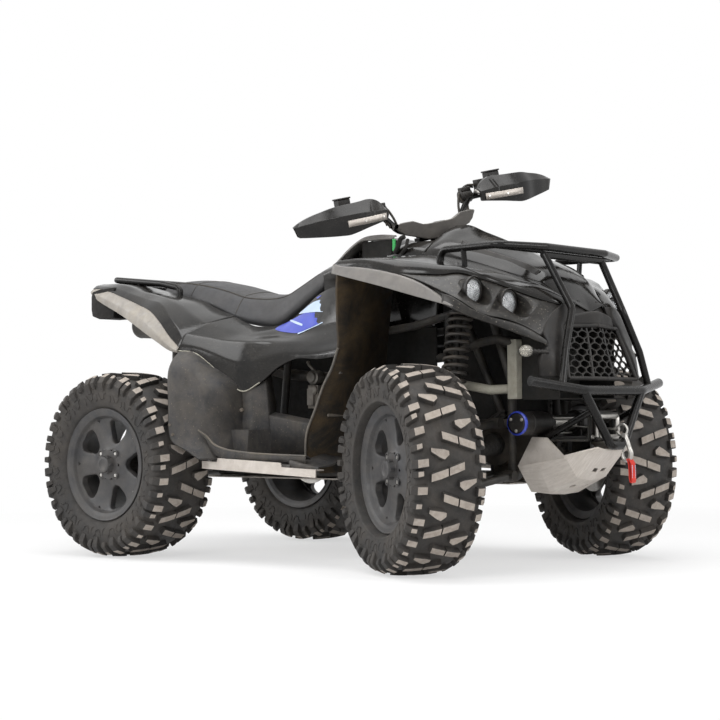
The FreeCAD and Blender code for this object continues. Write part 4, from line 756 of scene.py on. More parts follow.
def makeFrontFender():
    # the crown from the groove to the seam, the pale band under it, the lamp panel and the plate below that
    groove, low, band = fender["groove"], fender["low"], fender["bandTop"]
    edge = seam + [0, -0.6, 0]
    top = panel([groove, fender["crease"], fender["middle"], edge, moved(edge, (0, 1.5, -12))], 60,
                [5, 26, 4])
    ledge = panel([moved(groove[:5], (0, 10, -6)), groove[:5]], 24, 3)
    piece("front_fender_tops", both([top, ledge]), ["gloss"], 30, solid=4,
          hides=("front_fenders",))
    wall("front_fender_bands", [moved(low, (0, 18, 3)), low, band, moved(band, (0, 9, 3))], 48, [3, 4],
         "band", solid=3)
    low, high = fender["panelLow"], fender["panelTop"]
    lines = [moved(low, (-8, 6, -3)), low, high, moved(high, (-6, 4, 3))]
    pierced(wall("lamp_panels", lines, 60, [6, 4], "lampPanel", solid=3.5))
    low, high = fender["plateLow"], fender["plateTop"]
    lines = [moved(low, (-6, 12, -2)), low, high, moved(high, (-10, 6, 2))]
    wall("lamp_panel_plates", lines, 48, [4, 6], "lampPanel", solid=3)


hood = {
    "stations": [
        (424, [(-189, 1030), (-176, 1050), (-150, 1072), (-78, 1116), (0, 1147)]),
        (470, [(-189, 1027), (-177, 1052), (-151, 1078), (-74, 1120), (0, 1145)]),
        (540, [(-189, 1021), (-175, 1044), (-149, 1070), (-66, 1100), (0, 1117)]),
        (620, [(-189, 1000), (-176, 1018), (-150, 1044), (-60, 1073), (0, 1085)]),
        (700, [(-182, 975), (-168, 990), (-144, 1020), (-56, 1041), (0, 1049)]),
        (775, [(-174, 950), (-160, 966), (-138, 992), (-58, 1006), (0, 1011)]),
        (830, [(-160, 930), (-150, 944), (-128, 968), (-58, 980), (0, 984)]),
        (870, [(-149, 915), (-140, 926), (-112, 944), (-56, 953), (0, 955)]),
        (915, [(-112, 882), (-102, 889), (-80, 899), (-40, 905), (0, 907)]),
        (940, [(-92, 863), (-82, 866), (-62, 869), (-26, 868), (0, 866)]),
        (955, [(-81, 852), (-68, 847), (-46, 839), (-18, 829), (0, 824)])],
    "soft": [4, 10, 22, 18, 7, 18, 22, 10, 4],
    # dark inlays beside the middle of the hood
    "inlay": [[(560, -171, 1041), (640, -168, 1010), (720, -160, 983), (800, -150, 958), (845, -138, 945)],
              [(560, -152, 1073), (640, -150, 1040), (720, -142, 1013), (800, -134, 984), (850, -124, 956)]],
}


def mirrored(lines):
    # lines of one half, the last of them in the centre plane, carried on to the other side
    lines = list(lines)
    return lines + [line * [1, -1, 1] for line in lines[-2::-1]]


def makeHood():
    # the pressed shell with its skirts turned down at the seams, and an inlay on each side
    lines = curvesOf(hood["stations"])
    shell = panel(mirrored([moved(lines[0], (0, 3, -12)), *lines]), 70, hood["soft"])
    piece("hood_shell", [shell], ["gloss"], 30, solid=4, hides=("hood",))
    low, high = (moved(line, (1, -1.5, 1)) for line in hood["inlay"])
    wall("hood_inlays", [moved(low, (0, 0, -3)), low, high, moved(high, (0, 6, 0))], 32, 3, "plastic",
         solid=3)


nose = {
    # side pieces beside the grille: a folded panel, its fold running down from the ridge
    "sides": [[(957, -84, 846), (962, -104, 846), (957, -140, 846), (952, -158, 843)],
              [(961, -100, 812), (963, -128, 812), (955, -170, 812), (946, -210, 806)],
              [(957, -151, 776), (963, -166, 776), (957, -214, 765), (950, -252, 752)],
              [(970, -160, 740), (975, -178, 738), (966, -222, 722), (963, -244, 712)],
              [(984, -178, 690), (988, -196, 690), (975, -240, 690), (958, -266, 690)],
              [(1001, -197, 612), (1003, -214, 612), (985, -250, 612), (955, -268, 612)]],
    "plate": [[(943, -100, 848), (945, -48, 862), (946, 0, 826), (945, 48, 862), (943, 100, 848)],
              [(950, -120, 806), (958, -60, 806), (964, 0, 806), (958, 60, 806), (950, 120, 806)],
              [(950, -158, 770), (964, -80, 772), (974, 0, 772), (964, 80, 772), (950, 158, 770)]],
}


def makeNose():
    # the folded side pieces with their edges turned back, and the plate above the grille
    lines = runs(nose["sides"])
    wall("nose_sides", [moved(lines[0], (-14, 2, 0)), *lines, moved(lines[-1], (-16, -1, 0))], 40,
         [4, 10, 14, 4], "plastic", 32, hides=("front_cowl",))
    piece("nose_plate", [panel(nose["plate"], 30, 14)], ["plastic"], 30, solid=3)


grille = {
    "pitch": 47.0, "row": 19.0, "wall": 3.4, "depth": 8.0, "columns": 5, "rows": 9, "foot": 618,
    # the folded plate: at its top edge, and added over its height: half width, x at the fold, x at the sides
    "top": 772, "height": 160, "half": (152.3, 44.3), "fold": (982, 30), "sides": (953.6, 47.2),
    # a cell's corners as shares of the pitch and the row
    "cell": ((0.5, 0.28), (0.5, -0.28), (0.16, -0.72), (-0.16, -0.72), (-0.5, -0.28), (-0.5, 0.28),
             (-0.16, 0.72), (0.16, 0.72)),
    "border": [(955, -152, 776), (983, 0, 782), (955, 152, 776), (1003, 198, 610), (1015, 0, 610),
               (1003, -198, 610)],
    "brow": [[(950, -152, 800), (975, -80, 815), (985, 0, 824), (975, 80, 815), (950, 152, 800)],
             [(952, -153, 776), (970, -76, 782), (984, 0, 786), (970, 76, 782), (952, 153, 776)]],
}


def grilleAt(key, z):
    # a size of the plate at a height: its value at the top edge plus its share of the growth
    first, more = grille[key]
    return first + (grille["top"] - z) / grille["height"] * more


def makeGrille():
    # elongated hexagon cells on the plate folded at the centre: rings between outer and inner corners
    pitch, row, wall, depth = (grille[key] for key in ("pitch", "row", "wall", "depth"))
    span = np.arange(-grille["columns"], grille["columns"] + 1)
    columns, rows = np.meshgrid(span, np.arange(grille["rows"]), indexing="ij")
    centreY = (columns * pitch + np.where(rows % 2 == 1, pitch / 2, 0)).ravel()
    centreZ = (grille["foot"] + rows * row).ravel()
    keep = np.abs(centreY) < grilleAt("half", centreZ) - 20
    centreY, centreZ = centreY[keep], centreZ[keep]
    outer = np.array(grille["cell"]) * [pitch, row]
    inner = np.array(grille["cell"]) * [pitch - 2 * wall, row - 1.3 * wall]
    rings = []
    for corners, back in ((outer, depth), (outer, 0), (inner, 0), (inner, depth)):
        y = centreY[:, None] + corners[:, 0]
        z = centreZ[:, None] + corners[:, 1]
        fold = grilleAt("fold", z)
        x = fold + (grilleAt("sides", z) - fold) * np.abs(y) / grilleAt("half", z)
        rings.append(np.stack([x - back + 1, y, z], -1))
    blocks = [skinOf(cell, 0, closedColumns=True, closedRows=True) for cell in np.stack(rings, 1)]
    corners = grille["border"]
    blocks += [tube([start, end], 7, sides=10) for start, end in zip(corners, corners[1:] + corners[:1])]
    blocks += [tube([(1006, y + side * 12, 612), (985, y, 700), (968, y - side * 4, 776)], 5.5, sides=8)
               for side, y in ((-1, -50), (1, 50))]
    high, low = grille["brow"]
    blocks.append(panel([moved(high, (-8, 0, 4)), high, low, moved(low, (-10, 0, -3))], 24, 4))
    piece("grille_mesh", blocks, ["plastic"], 30, hides=("grille",))
    # dark boxes behind the grille, painted as the shade in the space behind it
    shadeBoxes = [boxed((800, y - 2, 545), (944, y + 2, 790)) for y in (-158, 158)]
    shadeBoxes += [boxed((800, -158, 786), (940, 158, 790)), boxed((800, -158, 545), (985, 158, 549)),
             boxed((806, -156, 549), (810, 156, 786))]
    piece("grille_shade_boxes", shadeBoxes, ["cavity"], 30)


rearFender = {
    "low": [(-1098, -326, 968), (-1060, -338, 948), (-1026, -346, 934), (-864, -390, 879), (-704, -436, 816),
            (-590, -463, 768), (-480, -484, 727), (-452, -485, 722)],
    "crease": [(-1100, -318, 992), (-1061, -324, 991), (-980, -340, 975), (-899, -359, 953),
               (-765, -383, 912), (-682, -408, 886), (-591, -441, 837), (-513, -467, 783), (-453, -480, 744)],
    "facet": [(-1100, -300, 1005), (-980, -322, 990), (-850, -340, 958), (-760, -352, 934), (-669, -370, 916),
              (-565, -415, 857), (-485, -444, 802), (-453, -456, 772)],
    "shoulder": [(-1100, -262, 1014), (-950, -292, 1002), (-850, -300, 972), (-765, -308, 955),
                 (-669, -318, 930), (-565, -330, 885), (-485, -345, 845), (-453, -345, 828)],
    "inner": [(-1100, -190, 1012), (-950, -190, 1004), (-850, -190, 982), (-765, -190, 962),
              (-620, -190, 927), (-540, -192, 895), (-453, -195, 866)],
}
sidePanel = [
    (-456.8, [(-482, 730), (-477, 750), (-450, 790), (-345, 832), (-196, 866)]),
    (-400, [(-455, 722), (-450, 745), (-415, 780), (-316, 812), (-198, 842)]),
    (-340, [(-436, 680), (-425, 725), (-372, 768), (-296, 792), (-200, 824)]),
    (-285, [(-421, 632), (-408, 700), (-345, 764), (-270, 788), (-190, 820)]),
    (-215, [(-394, 584), (-386, 680), (-326, 762), (-240, 784), (-176, 832)]),
    (-160, [(-370, 614), (-362, 700), (-308, 758), (-240, 783), (-160, 870)]),
    (-90, [(-349, 668), (-341, 714), (-300, 755), (-240, 784), (-142, 928)]),
    (-30, [(-338, 692), (-332, 715), (-296, 750), (-238, 790), (-155, 945)]),
    (80, [(-330, 690), (-326, 714), (-296, 742), (-236, 810), (-174, 958)]),
    (170, [(-326, 700), (-322, 725), (-290, 758), (-236, 835), (-182, 988)]),
    (250, [(-325, 715), (-320, 740), (-290, 778), (-240, 862), (-190, 1018)])]


def makeRearBody():
    # fenders, the deck between them with its rolled rear edge, their pale bands, and the side panels with a
    # pale bead painted as the highlight along their lower edge
    low, crease, inner = (rearFender[key] for key in ("low", "crease", "inner"))
    lines = [moved(crease, (0, 10, -6)), crease, rearFender["facet"], rearFender["shoulder"], inner,
             moved(inner, (0, 8, -14))]
    top = panel(lines, 60, [3, 4, 12, 5])
    edge = ((-1102, 1000), (-1100, 1013), (-1040, 1012), (-960, 1006))
    deck = panel([[(x, y, z) for x, z in edge] for y in (-190, -60, 60, 190)], 24, 30)
    piece("rear_fender_tops", [top, swapped(top), deck], ["gloss"], 30, solid=4,
          hides=("rear_fenders",))
    ridge = flowing(low, 24) * 0.5 + flowing(crease, 24) * 0.5 + [0, -10, -2]
    band = [moved(low, (0, 16, 4)), low, ridge, moved(crease, (0, -1, -3)), moved(crease, (0, 10, 2))]
    wall("rear_fender_bands", band, 48, [4, 4, 4], "tailBand", solid=3)
    lines = curvesOf(sidePanel)
    lines = [moved(lines[0], (0, 12, 0)), *lines, moved(lines[-1], (0, 8, -10))]
    body = wall("side_panel_skins", lines, 90, [3, 12, 14, 22, 4], "gloss", slot="gloss_body",
                hides=("side_panels",))
    # a pale bead along the lower edge of each side panel: a painted highlight for the reflection on its
    # rolled edge
    edge = [(x, line[0][0] - 1.5, line[0][1] + 1) for x, line in sidePanel[:6]]
    piece("side_panel_highlight_beads", both([tube(flowing(edge, 50), 2.3, sides=8)]), ["bone"], 50)
    return body


def wrapped(name, patches, material, target, offset=0.9):
    # flat film laid on the target's surface, each patch between an upper and a lower line
    blocks = [panel([upper, (flowing(upper, 20) + flowing(lower, 20)) / 2, lower], 28, 40, steps=6)
              for upper, lower in patches]
    obj = piece(name, both(blocks), [material], 60)
    lay = obj.modifiers.new("lay", "SHRINKWRAP")
    lay.target, lay.offset = target, offset * mm
    lay.wrap_method, lay.wrap_mode = "NEAREST_SURFACEPOINT", "ABOVE_SURFACE"
    settle(obj)


films = {
    "blue": [([(-236, -211, 809), (-227, -186, 824), (-196, -183, 837), (-162, -183, 850), (-129, -182, 861),
               (-61, -193, 860), (52, -210, 855), (150, -222, 850)],
              [(-228, -217, 803), (-177, -230, 796), (-137, -236, 790), (-101, -238, 787), (-70, -231, 799),
               (-20, -223, 816), (56, -214, 845), (150, -218, 846)]),
             ([(-96, -149, 916), (-60, -152, 924), (-24, -156, 934), (11, -162, 944)],
              [(-80, -156, 911), (-57, -155, 923), (-24, -160, 930), (17, -169, 932)])],
    "pale": [([(-159, -171, 865), (-135, -164, 882), (-106, -159, 898), (-63, -165, 905), (33, -187, 900),
               (120, -196, 896)],
              [(-155, -176, 861), (-118, -183, 862), (-79, -189, 862), (-34, -198, 860), (52, -210, 855),
               (130, -220, 850)]),
             ([(-101, -239, 786), (-69, -232, 797), (-19, -224, 815), (57, -215, 843), (130, -216, 850)],
              [(-94, -246, 782), (-67, -235, 794), (-18, -226, 811), (58, -217, 840), (130, -217, 846)]),
             ([(-197, -177, 842), (-145, -201, 833), (-101, -215, 821)],
              [(-187, -188, 836), (-137, -210, 823), (-97, -220, 813)])],
}


def makeFilms(target):
    # the pale film lies over the blue one
    wrapped("blue_films", films["blue"], "blue", target)
    wrapped("pale_films", films["pale"], "white", target, 1.5)


makeFrontFender()
makeHood()
makeNose()
makeGrille()
makeFilms(makeRearBody())
print("bodywork built")


# Seat and console

def bulged(block, shape, reach):
    # end caps for an open skin of (rows, columns): shrinking rows that bulge by the reach
    rows, columns = shape
    grid = block[0].reshape(rows, columns, 3)
    share = np.array([0.94, 0.8, 0.55, 0.25, 0.02])[:, None, None]
    ends = []
    for row, sign, out in ((grid[0], -1, reach[0]), (grid[-1], 1, reach[1])):
        centre = row.mean(0)
        along = unit(np.cross(row[columns // 3] - centre, row[2 * columns // 3] - centre))
        along = along * np.sign(along @ (grid[-1].mean(0) - grid[0].mean(0))) * sign
        ends.append(centre + (row - centre) * share + along * out * np.sqrt(1 - share ** 2))
    return skinOf(np.concatenate([ends[0][::-1], grid, ends[1]]), block[2], closedColumns=True)


def hull(stations, soft, reach, count=60, which=0, steps=4):
    # a closed body from half sections that run from the bottom's outer edge to the top's centre
    block = panel(mirrored(curvesOf(stations)), count, soft, which, steps)
    columns = len(block[0]) // count
    return bulged(block, (count, columns), reach)


seat = {
    "stations": [(-952, [(-66, 968), (-82, 976), (-60, 984), (0, 987)]),
                 (-900, [(-126, 948), (-140, 974), (-110, 1000), (0, 1011)]),
                 (-800, [(-158, 930), (-172, 958), (-132, 1012), (0, 1027)]),
                 (-710, [(-167, 912), (-178, 944), (-137, 1002), (0, 1020)]),
                 (-620, [(-170, 895), (-182, 925), (-138, 985), (0, 1005)]),
                 (-540, [(-171, 868), (-182, 900), (-136, 964), (0, 986)]),
                 (-470, [(-170, 840), (-180, 872), (-132, 942), (0, 969)]),
                 (-410, [(-166, 826), (-176, 858), (-126, 933), (0, 959)]),
                 (-361, [(-160, 820), (-170, 850), (-122, 930), (0, 955)]),
                 (-290, [(-148, 812), (-157, 845), (-112, 935), (0, 963)]),
                 (-210, [(-126, 862), (-133, 895), (-96, 975), (0, 997)]),
                 (-150, [(-100, 915), (-108, 945), (-80, 1012), (0, 1030)]),
                 (-112, [(-84, 948), (-92, 975), (-68, 1034), (0, 1046)])],
    "soft": [14, 30, 60, 30, 14], "ends": (5, 2), "crossSeams": (-455, -700), "seam": 1.3,
    "foldSize": 0.16, "foldHeight": 0.004,
}


def makeSeat():
    # a padded cover whose soft folds are a displacement by noise, and the seams that lie on it
    block = hull(seat["stations"], seat["soft"], seat["ends"], 90, steps=5)
    cover = piece("seat_cover", [block], ["vinyl"], 60, sub=1, hides=("seat",))
    folds = bpy.data.textures.new("folds", "CLOUDS")
    folds.noise_scale, folds.noise_depth = seat["foldSize"], 2
    wave = cover.modifiers.new("folds", "DISPLACE")
    wave.texture, wave.strength, wave.mid_level = folds, seat["foldHeight"], 0.55
    crease = curvesOf(seat["stations"])[2]
    paths = [flowing(moved(crease[1:-1], (0, out, 1.5)), 70) for out in (-2.0, 3.5)]
    for near in seat["crossSeams"]:
        x, line = min(seat["stations"], key=lambda station: abs(station[0] - near))
        paths.append(flowing([(x, y, z + 1) for y, z in line[1:]], 30))
    # each side's seams go to the nearest place on the finished cover
    skin = finished(cover)
    seams = []
    for path in paths:
        for side in (1, -1):
            hits = [skin.closest_point_on_mesh(Vector(point * [1, side, 1] * mm)) for point in path]
            seams.append(tube([np.array(hit[1]) / mm + np.array(hit[2]) * 0.3 for hit in hits], seat["seam"],
                              sides=8))
    piece("seat_seams", seams, ["rubber"], 60)


console = {
    "stations": [
        (-108, [(-88, 774), (-90, 960), (-97, 1010), (-62, 1034), (0, 1037)]),
        (-40, [(-88, 779), (-102, 958), (-116, 1018), (-76, 1053), (0, 1057)]),
        (40, [(-88, 788), (-118, 960), (-138, 1030), (-92, 1076), (0, 1081)]),
        (110, [(-88, 794), (-132, 960), (-152, 1044), (-104, 1100), (0, 1107)]),
        (160, [(-88, 800), (-140, 960), (-158, 1050), (-112, 1114), (0, 1122)]),
        (210, [(-88, 805), (-146, 965), (-161, 1042), (-112, 1104), (0, 1111)]),
        (250, [(-88, 809), (-148, 970), (-162, 1030), (-110, 1078), (0, 1084)])],
    "dash": [[(258, -189, 1029), (300, -189, 1029), (360, -189, 1030), (421, -189, 1030)],
             [(258, -176, 1052), (300, -175, 1060), (360, -172, 1062), (421, -168, 1056)],
             [(258, -120, 1078), (300, -122, 1086), (360, -122, 1088), (421, -118, 1086)],
             [(258, -64, 1084), (300, -64, 1090), (360, -62, 1092), (421, -60, 1090)],
             [(258, -50, 1060), (300, -50, 1064), (360, -48, 1064), (421, -46, 1064)]],
    "cowl": [[(40, -196, 1026), (96, -196, 1064), (150, -190, 1097), (208, -188, 1098), (292, -188, 1096)],
             [(46, -190, 1040), (100, -190, 1080), (154, -184, 1110), (222, -180, 1117), (298, -180, 1110)],
             [(60, -120, 1044), (110, -126, 1084), (160, -152, 1108), (222, -170, 1111), (298, -174, 1105)]],
    "soft": [22, 16, 30, 60, 30, 16, 22], "ends": (1, 6), "pocket": ((150, -182, 1030), (280, -150, 1094)),
    "tab": ((290, -190, 1054), (302, -183, 1095)),
}


def makeConsole():
    # the cover before the saddle, dash skins beside the column, a pale cowl over a near-black box painted as
    # the shade of the pocket under it, and the cap
    block = hull(console["stations"], console["soft"], console["ends"], 50)
    piece("console_cover", [block], ["gloss"], 40, hides=("console",))
    wall("dash_skin", console["dash"], 24, [8, 24, 6], "gloss", 32, slot="gloss_body")
    cowl = console["cowl"]
    wall("dash_cowl", [moved(cowl[0], (0, 8, -3)), *cowl], 40, [3, 6], "band", 32, solid=3, slot=None)
    piece("green_tab", [boxed(*console["tab"])], ["green"], 30, bevel=2)
    up, back = (-0.35, 0, 1), (1, 0, 0)
    # the pocket box is painted shade under the cowl, not a part
    dark = [toward(turned([(0, 0), (0, 40), (14, 40), (18, 36), (18, 0)], 28), (70, 0, 1090), up, back),
            toward(turned([(0, 0), (0, 34), (8, 34), (9, 0)], 8), (66, 0, 1107), up, back),
            boxed(*console["pocket"]),
            tube([(300, -188, 1046), (316, -188, 1070), (322, -186, 1094), (340, -184, 1100)], 8, 20, 12),
            tube([(330, -190, 1040), (346, -184, 1062), (344, -172, 1092)], 6, 20, 10)]
    piece("dash_cover", dark, ["cavity"], 40, bevel=1.2)


makeSeat()
makeConsole()
print("seat built")


# Footwells and flaps

board = {"rear": -305, "length": 529, "top": 345, "fall": 23}


def boardTop(x):
    # height of the sloping board: its top at the rear less its fall by the share of its length
    return board["top"] - board["fall"] * (x - board["rear"]) / board["length"]


footwell = {
    "outer": [(-426, -500, 726), (-412, -545, 695), (-400, -574, 660), (-390, -588, 610), (-380, -595, 560),
              (-374, -600, 500), (-368, -604, 440), (-362, -603, 420), (-310, -584, 384), (-262, -566, 352)],
    "inner": [(-404, -456, 728), (-362, -424, 706), (-318, -408, 676), (-276, -400, 650), (-240, -396, 616),
              (-222, -398, 566), (-212, -398, 480), (-208, -398, 430), (-206, -398, 392), (-205, -398, 352)],
    "jamb": [[(-252, -390, 690), (-238, -396, 600), (-218, -404, 480), (-208, -402, 346)],
             [(-224, -380, 694), (-196, -384, 600), (-182, -386, 480), (-176, -386, 346)],
             [(-170, -340, 700), (-152, -345, 600), (-142, -345, 500), (-142, -345, 346)],
             [(-176, -306, 706), (-158, -306, 600), (-149, -306, 513), (-149, -330, 500)]],
    # low wall below the opening, its top turned in as a sill
    "sill": [[(-142, -345, 346), (-60, -326, 346), (60, -300, 346), (150, -286, 346)],
             [(-142, -345, 500), (-60, -326, 484), (60, -300, 462), (150, -286, 446)],
             [(-149, -306, 513), (-66, -288, 498), (54, -262, 476), (146, -250, 460)],
             [(-149, -300, 500), (-66, -282, 486), (54, -256, 464), (146, -244, 448)]],
    "toe": ((-290, -454), (-169, -430), (-138, -345), (-215, -392)),
    # rim of the tray: it falls from the guard and runs forward above the board; and how far it hangs down
    "rim": ((-292, -545, 452), (-269, -525, 430), (-246, -515, 404), (-204, -512, 389), (-107, -506, 376),
            (12, -500, 370), (158, -486, 366)),
    "hang": (3, 12, 34, 60, 60, 60, 60),
    "screws": ((-371, -598, 470), (-362, -596, 436), (-318, -520, 560), (-216, -405, 520), (-213, -404, 400)),
    "clips": ((-150, -475), (60, -470)),
}


def makeFootwells():
    # the guard before the rear wheel with its folded face, the jamb and sill of the opening, the floor and
    # the tray
    outer, inner = np.array(footwell["outer"], float), np.array(footwell["inner"], float)
    fold = outer * 0.56 + inner * 0.44 + np.array([[3, -3, 0]] + [[10, -8, 0]] * 8 + [[3, -3, 0]])
    walls = [panel([moved(outer, (-16, 10, 0)), outer, fold, inner], 60, [6, 10]),
             panel(footwell["jamb"], 40, [6, 5]), panel(footwell["sill"], 40, [4, 4])]
    piece("footwell_guards", both(walls), ["guard"], 34, solid=4, hides=("footwells",))
    floor = panel([[(x, y, boardTop(x) + rise) for x in (-262, -170, -60, 40, 104)]
                   for y, rise in ((-506, 1), (-504, 8), (-430, 22), (-202, 22))], 24, [2, 10])
    ribs = [tube([(x, -420, boardTop(x) + 23), (x, -250, boardTop(x) + 23)], 3.4, sides=8)
            for x in range(-50, 90, 22)]
    piece("footwell_floors", both([floor] + ribs), ["guard"], 34)
    toe = ringed([[(x + back, y * narrow, z) for x, y in footwell["toe"]]
                  for z, back, narrow in ((352, 0, 1), (442, 4, 0.985), (452, 4, 0.985))])
    rim = np.array(footwell["rim"], float)
    levels = [max(boardTop(x) + 16, z - drop) for (x, y, z), drop in zip(rim, footwell["hang"])]
    foot = np.column_stack([rim[:, :2] - [0, 1], levels])
    tray = panel([moved(rim, (0, 26, -10)), moved(rim, (0, 14, 1)), rim, foot], 60, [5, 5])
    piece("footwell_boxes", both([toe, tray]), ["guard"], 34, solid=3)
    bead = tube(flowing(moved(rim, (0, 2, 0)), 60), 3.4, sides=10)
    piece("footwell_rims", both([bead]), ["grey"], 40)
    fixings = []
    for place in footwell["screws"]:
        fixings += bolt(place, (0.55, -0.83, 0), 5)
    for x, y in footwell["clips"]:
        fixings += bolt((x, y, boardTop(x) + 15), (0, 0, 1), 5)
    piece("footwell_fixings", both(fixings), ["dusty"], 30)


flap = {
    "rows": [[(321, -506, 960), (336, -470, 962), (341, -400, 965), (338, -242, 968)],
             [(316, -503, 900), (331, -466, 900), (336, -396, 900), (331, -240, 900)],
             [(306, -490, 800), (320, -456, 800), (326, -392, 800), (314, -236, 800)],
             [(297, -478, 717), (310, -446, 717), (316, -388, 717), (300, -231, 717)],
             [(262, -468, 655), (284, -436, 655), (292, -386, 655), (288, -228, 655)],
             [(217, -458, 600), (238, -428, 600), (250, -380, 600), (270, -226, 600)],
             [(168, -449, 515), (192, -416, 515), (208, -375, 515), (244, -223, 515)],
             [(122, -440, 433), (148, -408, 433), (170, -370, 433), (220, -221, 433)],
             [(114, -436, 370), (138, -402, 370), (158, -365, 370), (204, -221, 370)],
             [(111, -432, 306), (133, -398, 306), (150, -360, 306), (190, -221, 306)]],
    "corner": [(96, -500, 352), (130, -505, 345), (170, -500, 336), (215, -485, 330)],
    "braces": [[(268, -440, 640), (262, -300, 640)], [(190, -410, 500), (215, -280, 500)]],
}


def makeFlaps():
    # the wall behind the front wheel with its turned edge, bead and braces, and the board's corner guard
    lines = runs(flap["rows"])
    wall("mud_flap_walls", [moved(lines[0], (-14, 8, 0)), *lines], 80, [5, 14, 18], "flap", 34,
         hides=("mud_flaps",))
    bead = tube(flowing(moved(lines[0][3:], (1, -3, 0)), 40), 4.2, sides=10)
    braces = [tube(line, 5, sides=8) for line in flap["braces"]]
    piece("mud_flap_beads", both([bead] + braces), ["grey"], 40)
    low = flap["corner"]
    step = [moved(low, (0, 0, -24)), low, moved(low, (0, 70, 6)), moved(low, (6, 120, 30))]
    wall("front_corner_guards", step, 20, [6, 14], "guard", 34)


makeFootwells()
makeFlaps()
print("footwells built")


# Lamps

indicator = {"place": (917, -302, 695), "way": (0.86, -0.5, 0.06), "oval": (1, 1.12, 0.86),
             "root": (966, -250, 690),
             "stalk": 64}
tailLamp = {
    # the case: how far back, its two sides, its floor and roof
    "case": ((-1096, -330, -240, 912, 960), (-1080, -338, -236, 884, 978), (-1040, -340, -234, 872, 985),
             (-960, -336, -236, 872, 990)),
    # the lens: how far back, and how much smaller there
    "lens": ((-1093, 0), (-1099, 1), (-1102, 5)),
}


def makeHeadLamps():
    # turned cases, bowls, bulbs and lenses, and a housing that runs back into the panel and thins out
    cases, mirrors, glasses = [], [], []
    turns = np.linspace(0, 2 * math.pi, 36, endpoint=False)
    length, r, way = lamp["length"], lamp["radius"], lamp["way"]
    case = [(0, 8), (2, r - 12), (18, r - 4), (length - 14, r - 1), (length - 2, r + 3), (length + 3, r + 1),
            (length + 3, r - 4), (length - 3, r - 5), (length - 10, r - 6), (16, r - 18), (12, 8)]
    bowl = [(length - 5, r - 6), (length - 16, r - 9), (length - 32, r - 17), (length - 40, 8),
            (length - 41, 4), (length - 43, 4), (length - 42, 9), (length - 34, r - 15), (length - 17, r - 7),
            (length - 5, r - 5)]
    bulb = [(length - 42, 0), (length - 42, 6), (length - 26, 7), (length - 21, 4), (length - 20, 0)]
    lens = [(length - 4, 0), (length - 4, r - 5.5), (length - 1, r - 5), (length + 3, r * 0.6),
            (length + 5.5, r * 0.3), (length + 6.5, 0)]
    # forward, half width, half height, rise
    housing = ((24, r - 2, r - 2, -1), (-20, r - 2, r - 3, 0), (-70, r - 5, r - 13, 4),
               (-110, r - 11, r - 24, 9), (-140, r - 24, 5, 14))
    for front in lamp["fronts"]:
        place = np.array(front) - [length + 3, -1, -2]
        x, y, z = place
        rings = [[(x + along, y + wide * math.cos(a), z + rise + high * math.sin(a)) for a in turns]
                 for along, wide, high, rise in housing]
        cases += [ringed(np.array(rings)[:, ::-1]), toward(turned(case, 40), place, way)]
        mirrors += [toward(turned(bowl, 40), place, way), toward(turned(bulb, 20, 1), place, way)]
        glasses.append(toward(turned(lens, 40), place, way))
    piece("lamp_cases", both(cases), ["lampPanel"], 30, hides=("lamps",))
    piece("lamp_reflectors", both(mirrors), ["silver", "glass"], 40)
    piece("lamp_glasses", both(glasses), ["glass"], 40)


def makeSmallLamps():
    # indicators: an oval lens in a dark shell on a ribbed stalk; tail lamps: case and lens under each fender
    place, way, oval = indicator["place"], unit(indicator["way"]), np.array(indicator["oval"])
    shell = turned([(-22, 0), (-22, 6), (-16, 16), (-6, 21.5), (1, 22.5), (1, 20.5), (-6, 19), (-14, 13),
                    (-18, 0)], 32)
    lens = turned([(1, 0), (1, 21.3), (6, 20.5), (13, 14.5), (17, 7.5), (18.5, 0)], 32)
    shell, lens = (toward((points * oval, faces, which), place, way)
                   for points, faces, which in (shell, lens))
    ribs = [(k * 6.4, 9 if k % 2 else 6.8) for k in range(11)]
    root = np.array(indicator["root"])
    stalk = toward(turned([(0, 0), *ribs, (indicator["stalk"], 0)], 16), root, (-49, -54, 5))
    piece("indicator_shells", both([shell, stalk]), ["plastic"], 35)
    piece("indicator_glasses", both([lens]), ["amber"], 40)
    case = ringed([[(x, a, c), (x, b, c), (x, b, d), (x, a, d)] for x, a, b, c, d in tailLamp["case"]])
    lens = ringed([[(x, -312 + less, 904 + less), (x, -254 - less, 904 + less), (x, -254 - less, 964 - less),
                    (x, -312 + less, 964 - less)] for x, less in tailLamp["lens"]])
    # the case's near-black is partly its own black and partly painted shade of the opening under the fender's
    # end
    piece("tail_lamp_cases", both([case]), ["cavity"], 30, bevel=3)
    piece("tail_lamp_glasses", both([lens]), ["tail"], 30, bevel=1.5)


makeHeadLamps()
makeSmallLamps()
print("lamps built")


# Handlebar

steering = {"rake": 25, "turn": -30, "top": (302, 0, 1150)}


def barPlaceOf(rake, turn, top):
    # rotation about the raked column, and the shift that keeps the column's top in its place
    lean = math.radians(rake)
    rotation = turnAbout(unit((-math.sin(lean), 0, math.cos(lean))), turn)
    return rotation, np.array(top) - rotation @ np.array(top)


barPlace = barPlaceOf(**steering)


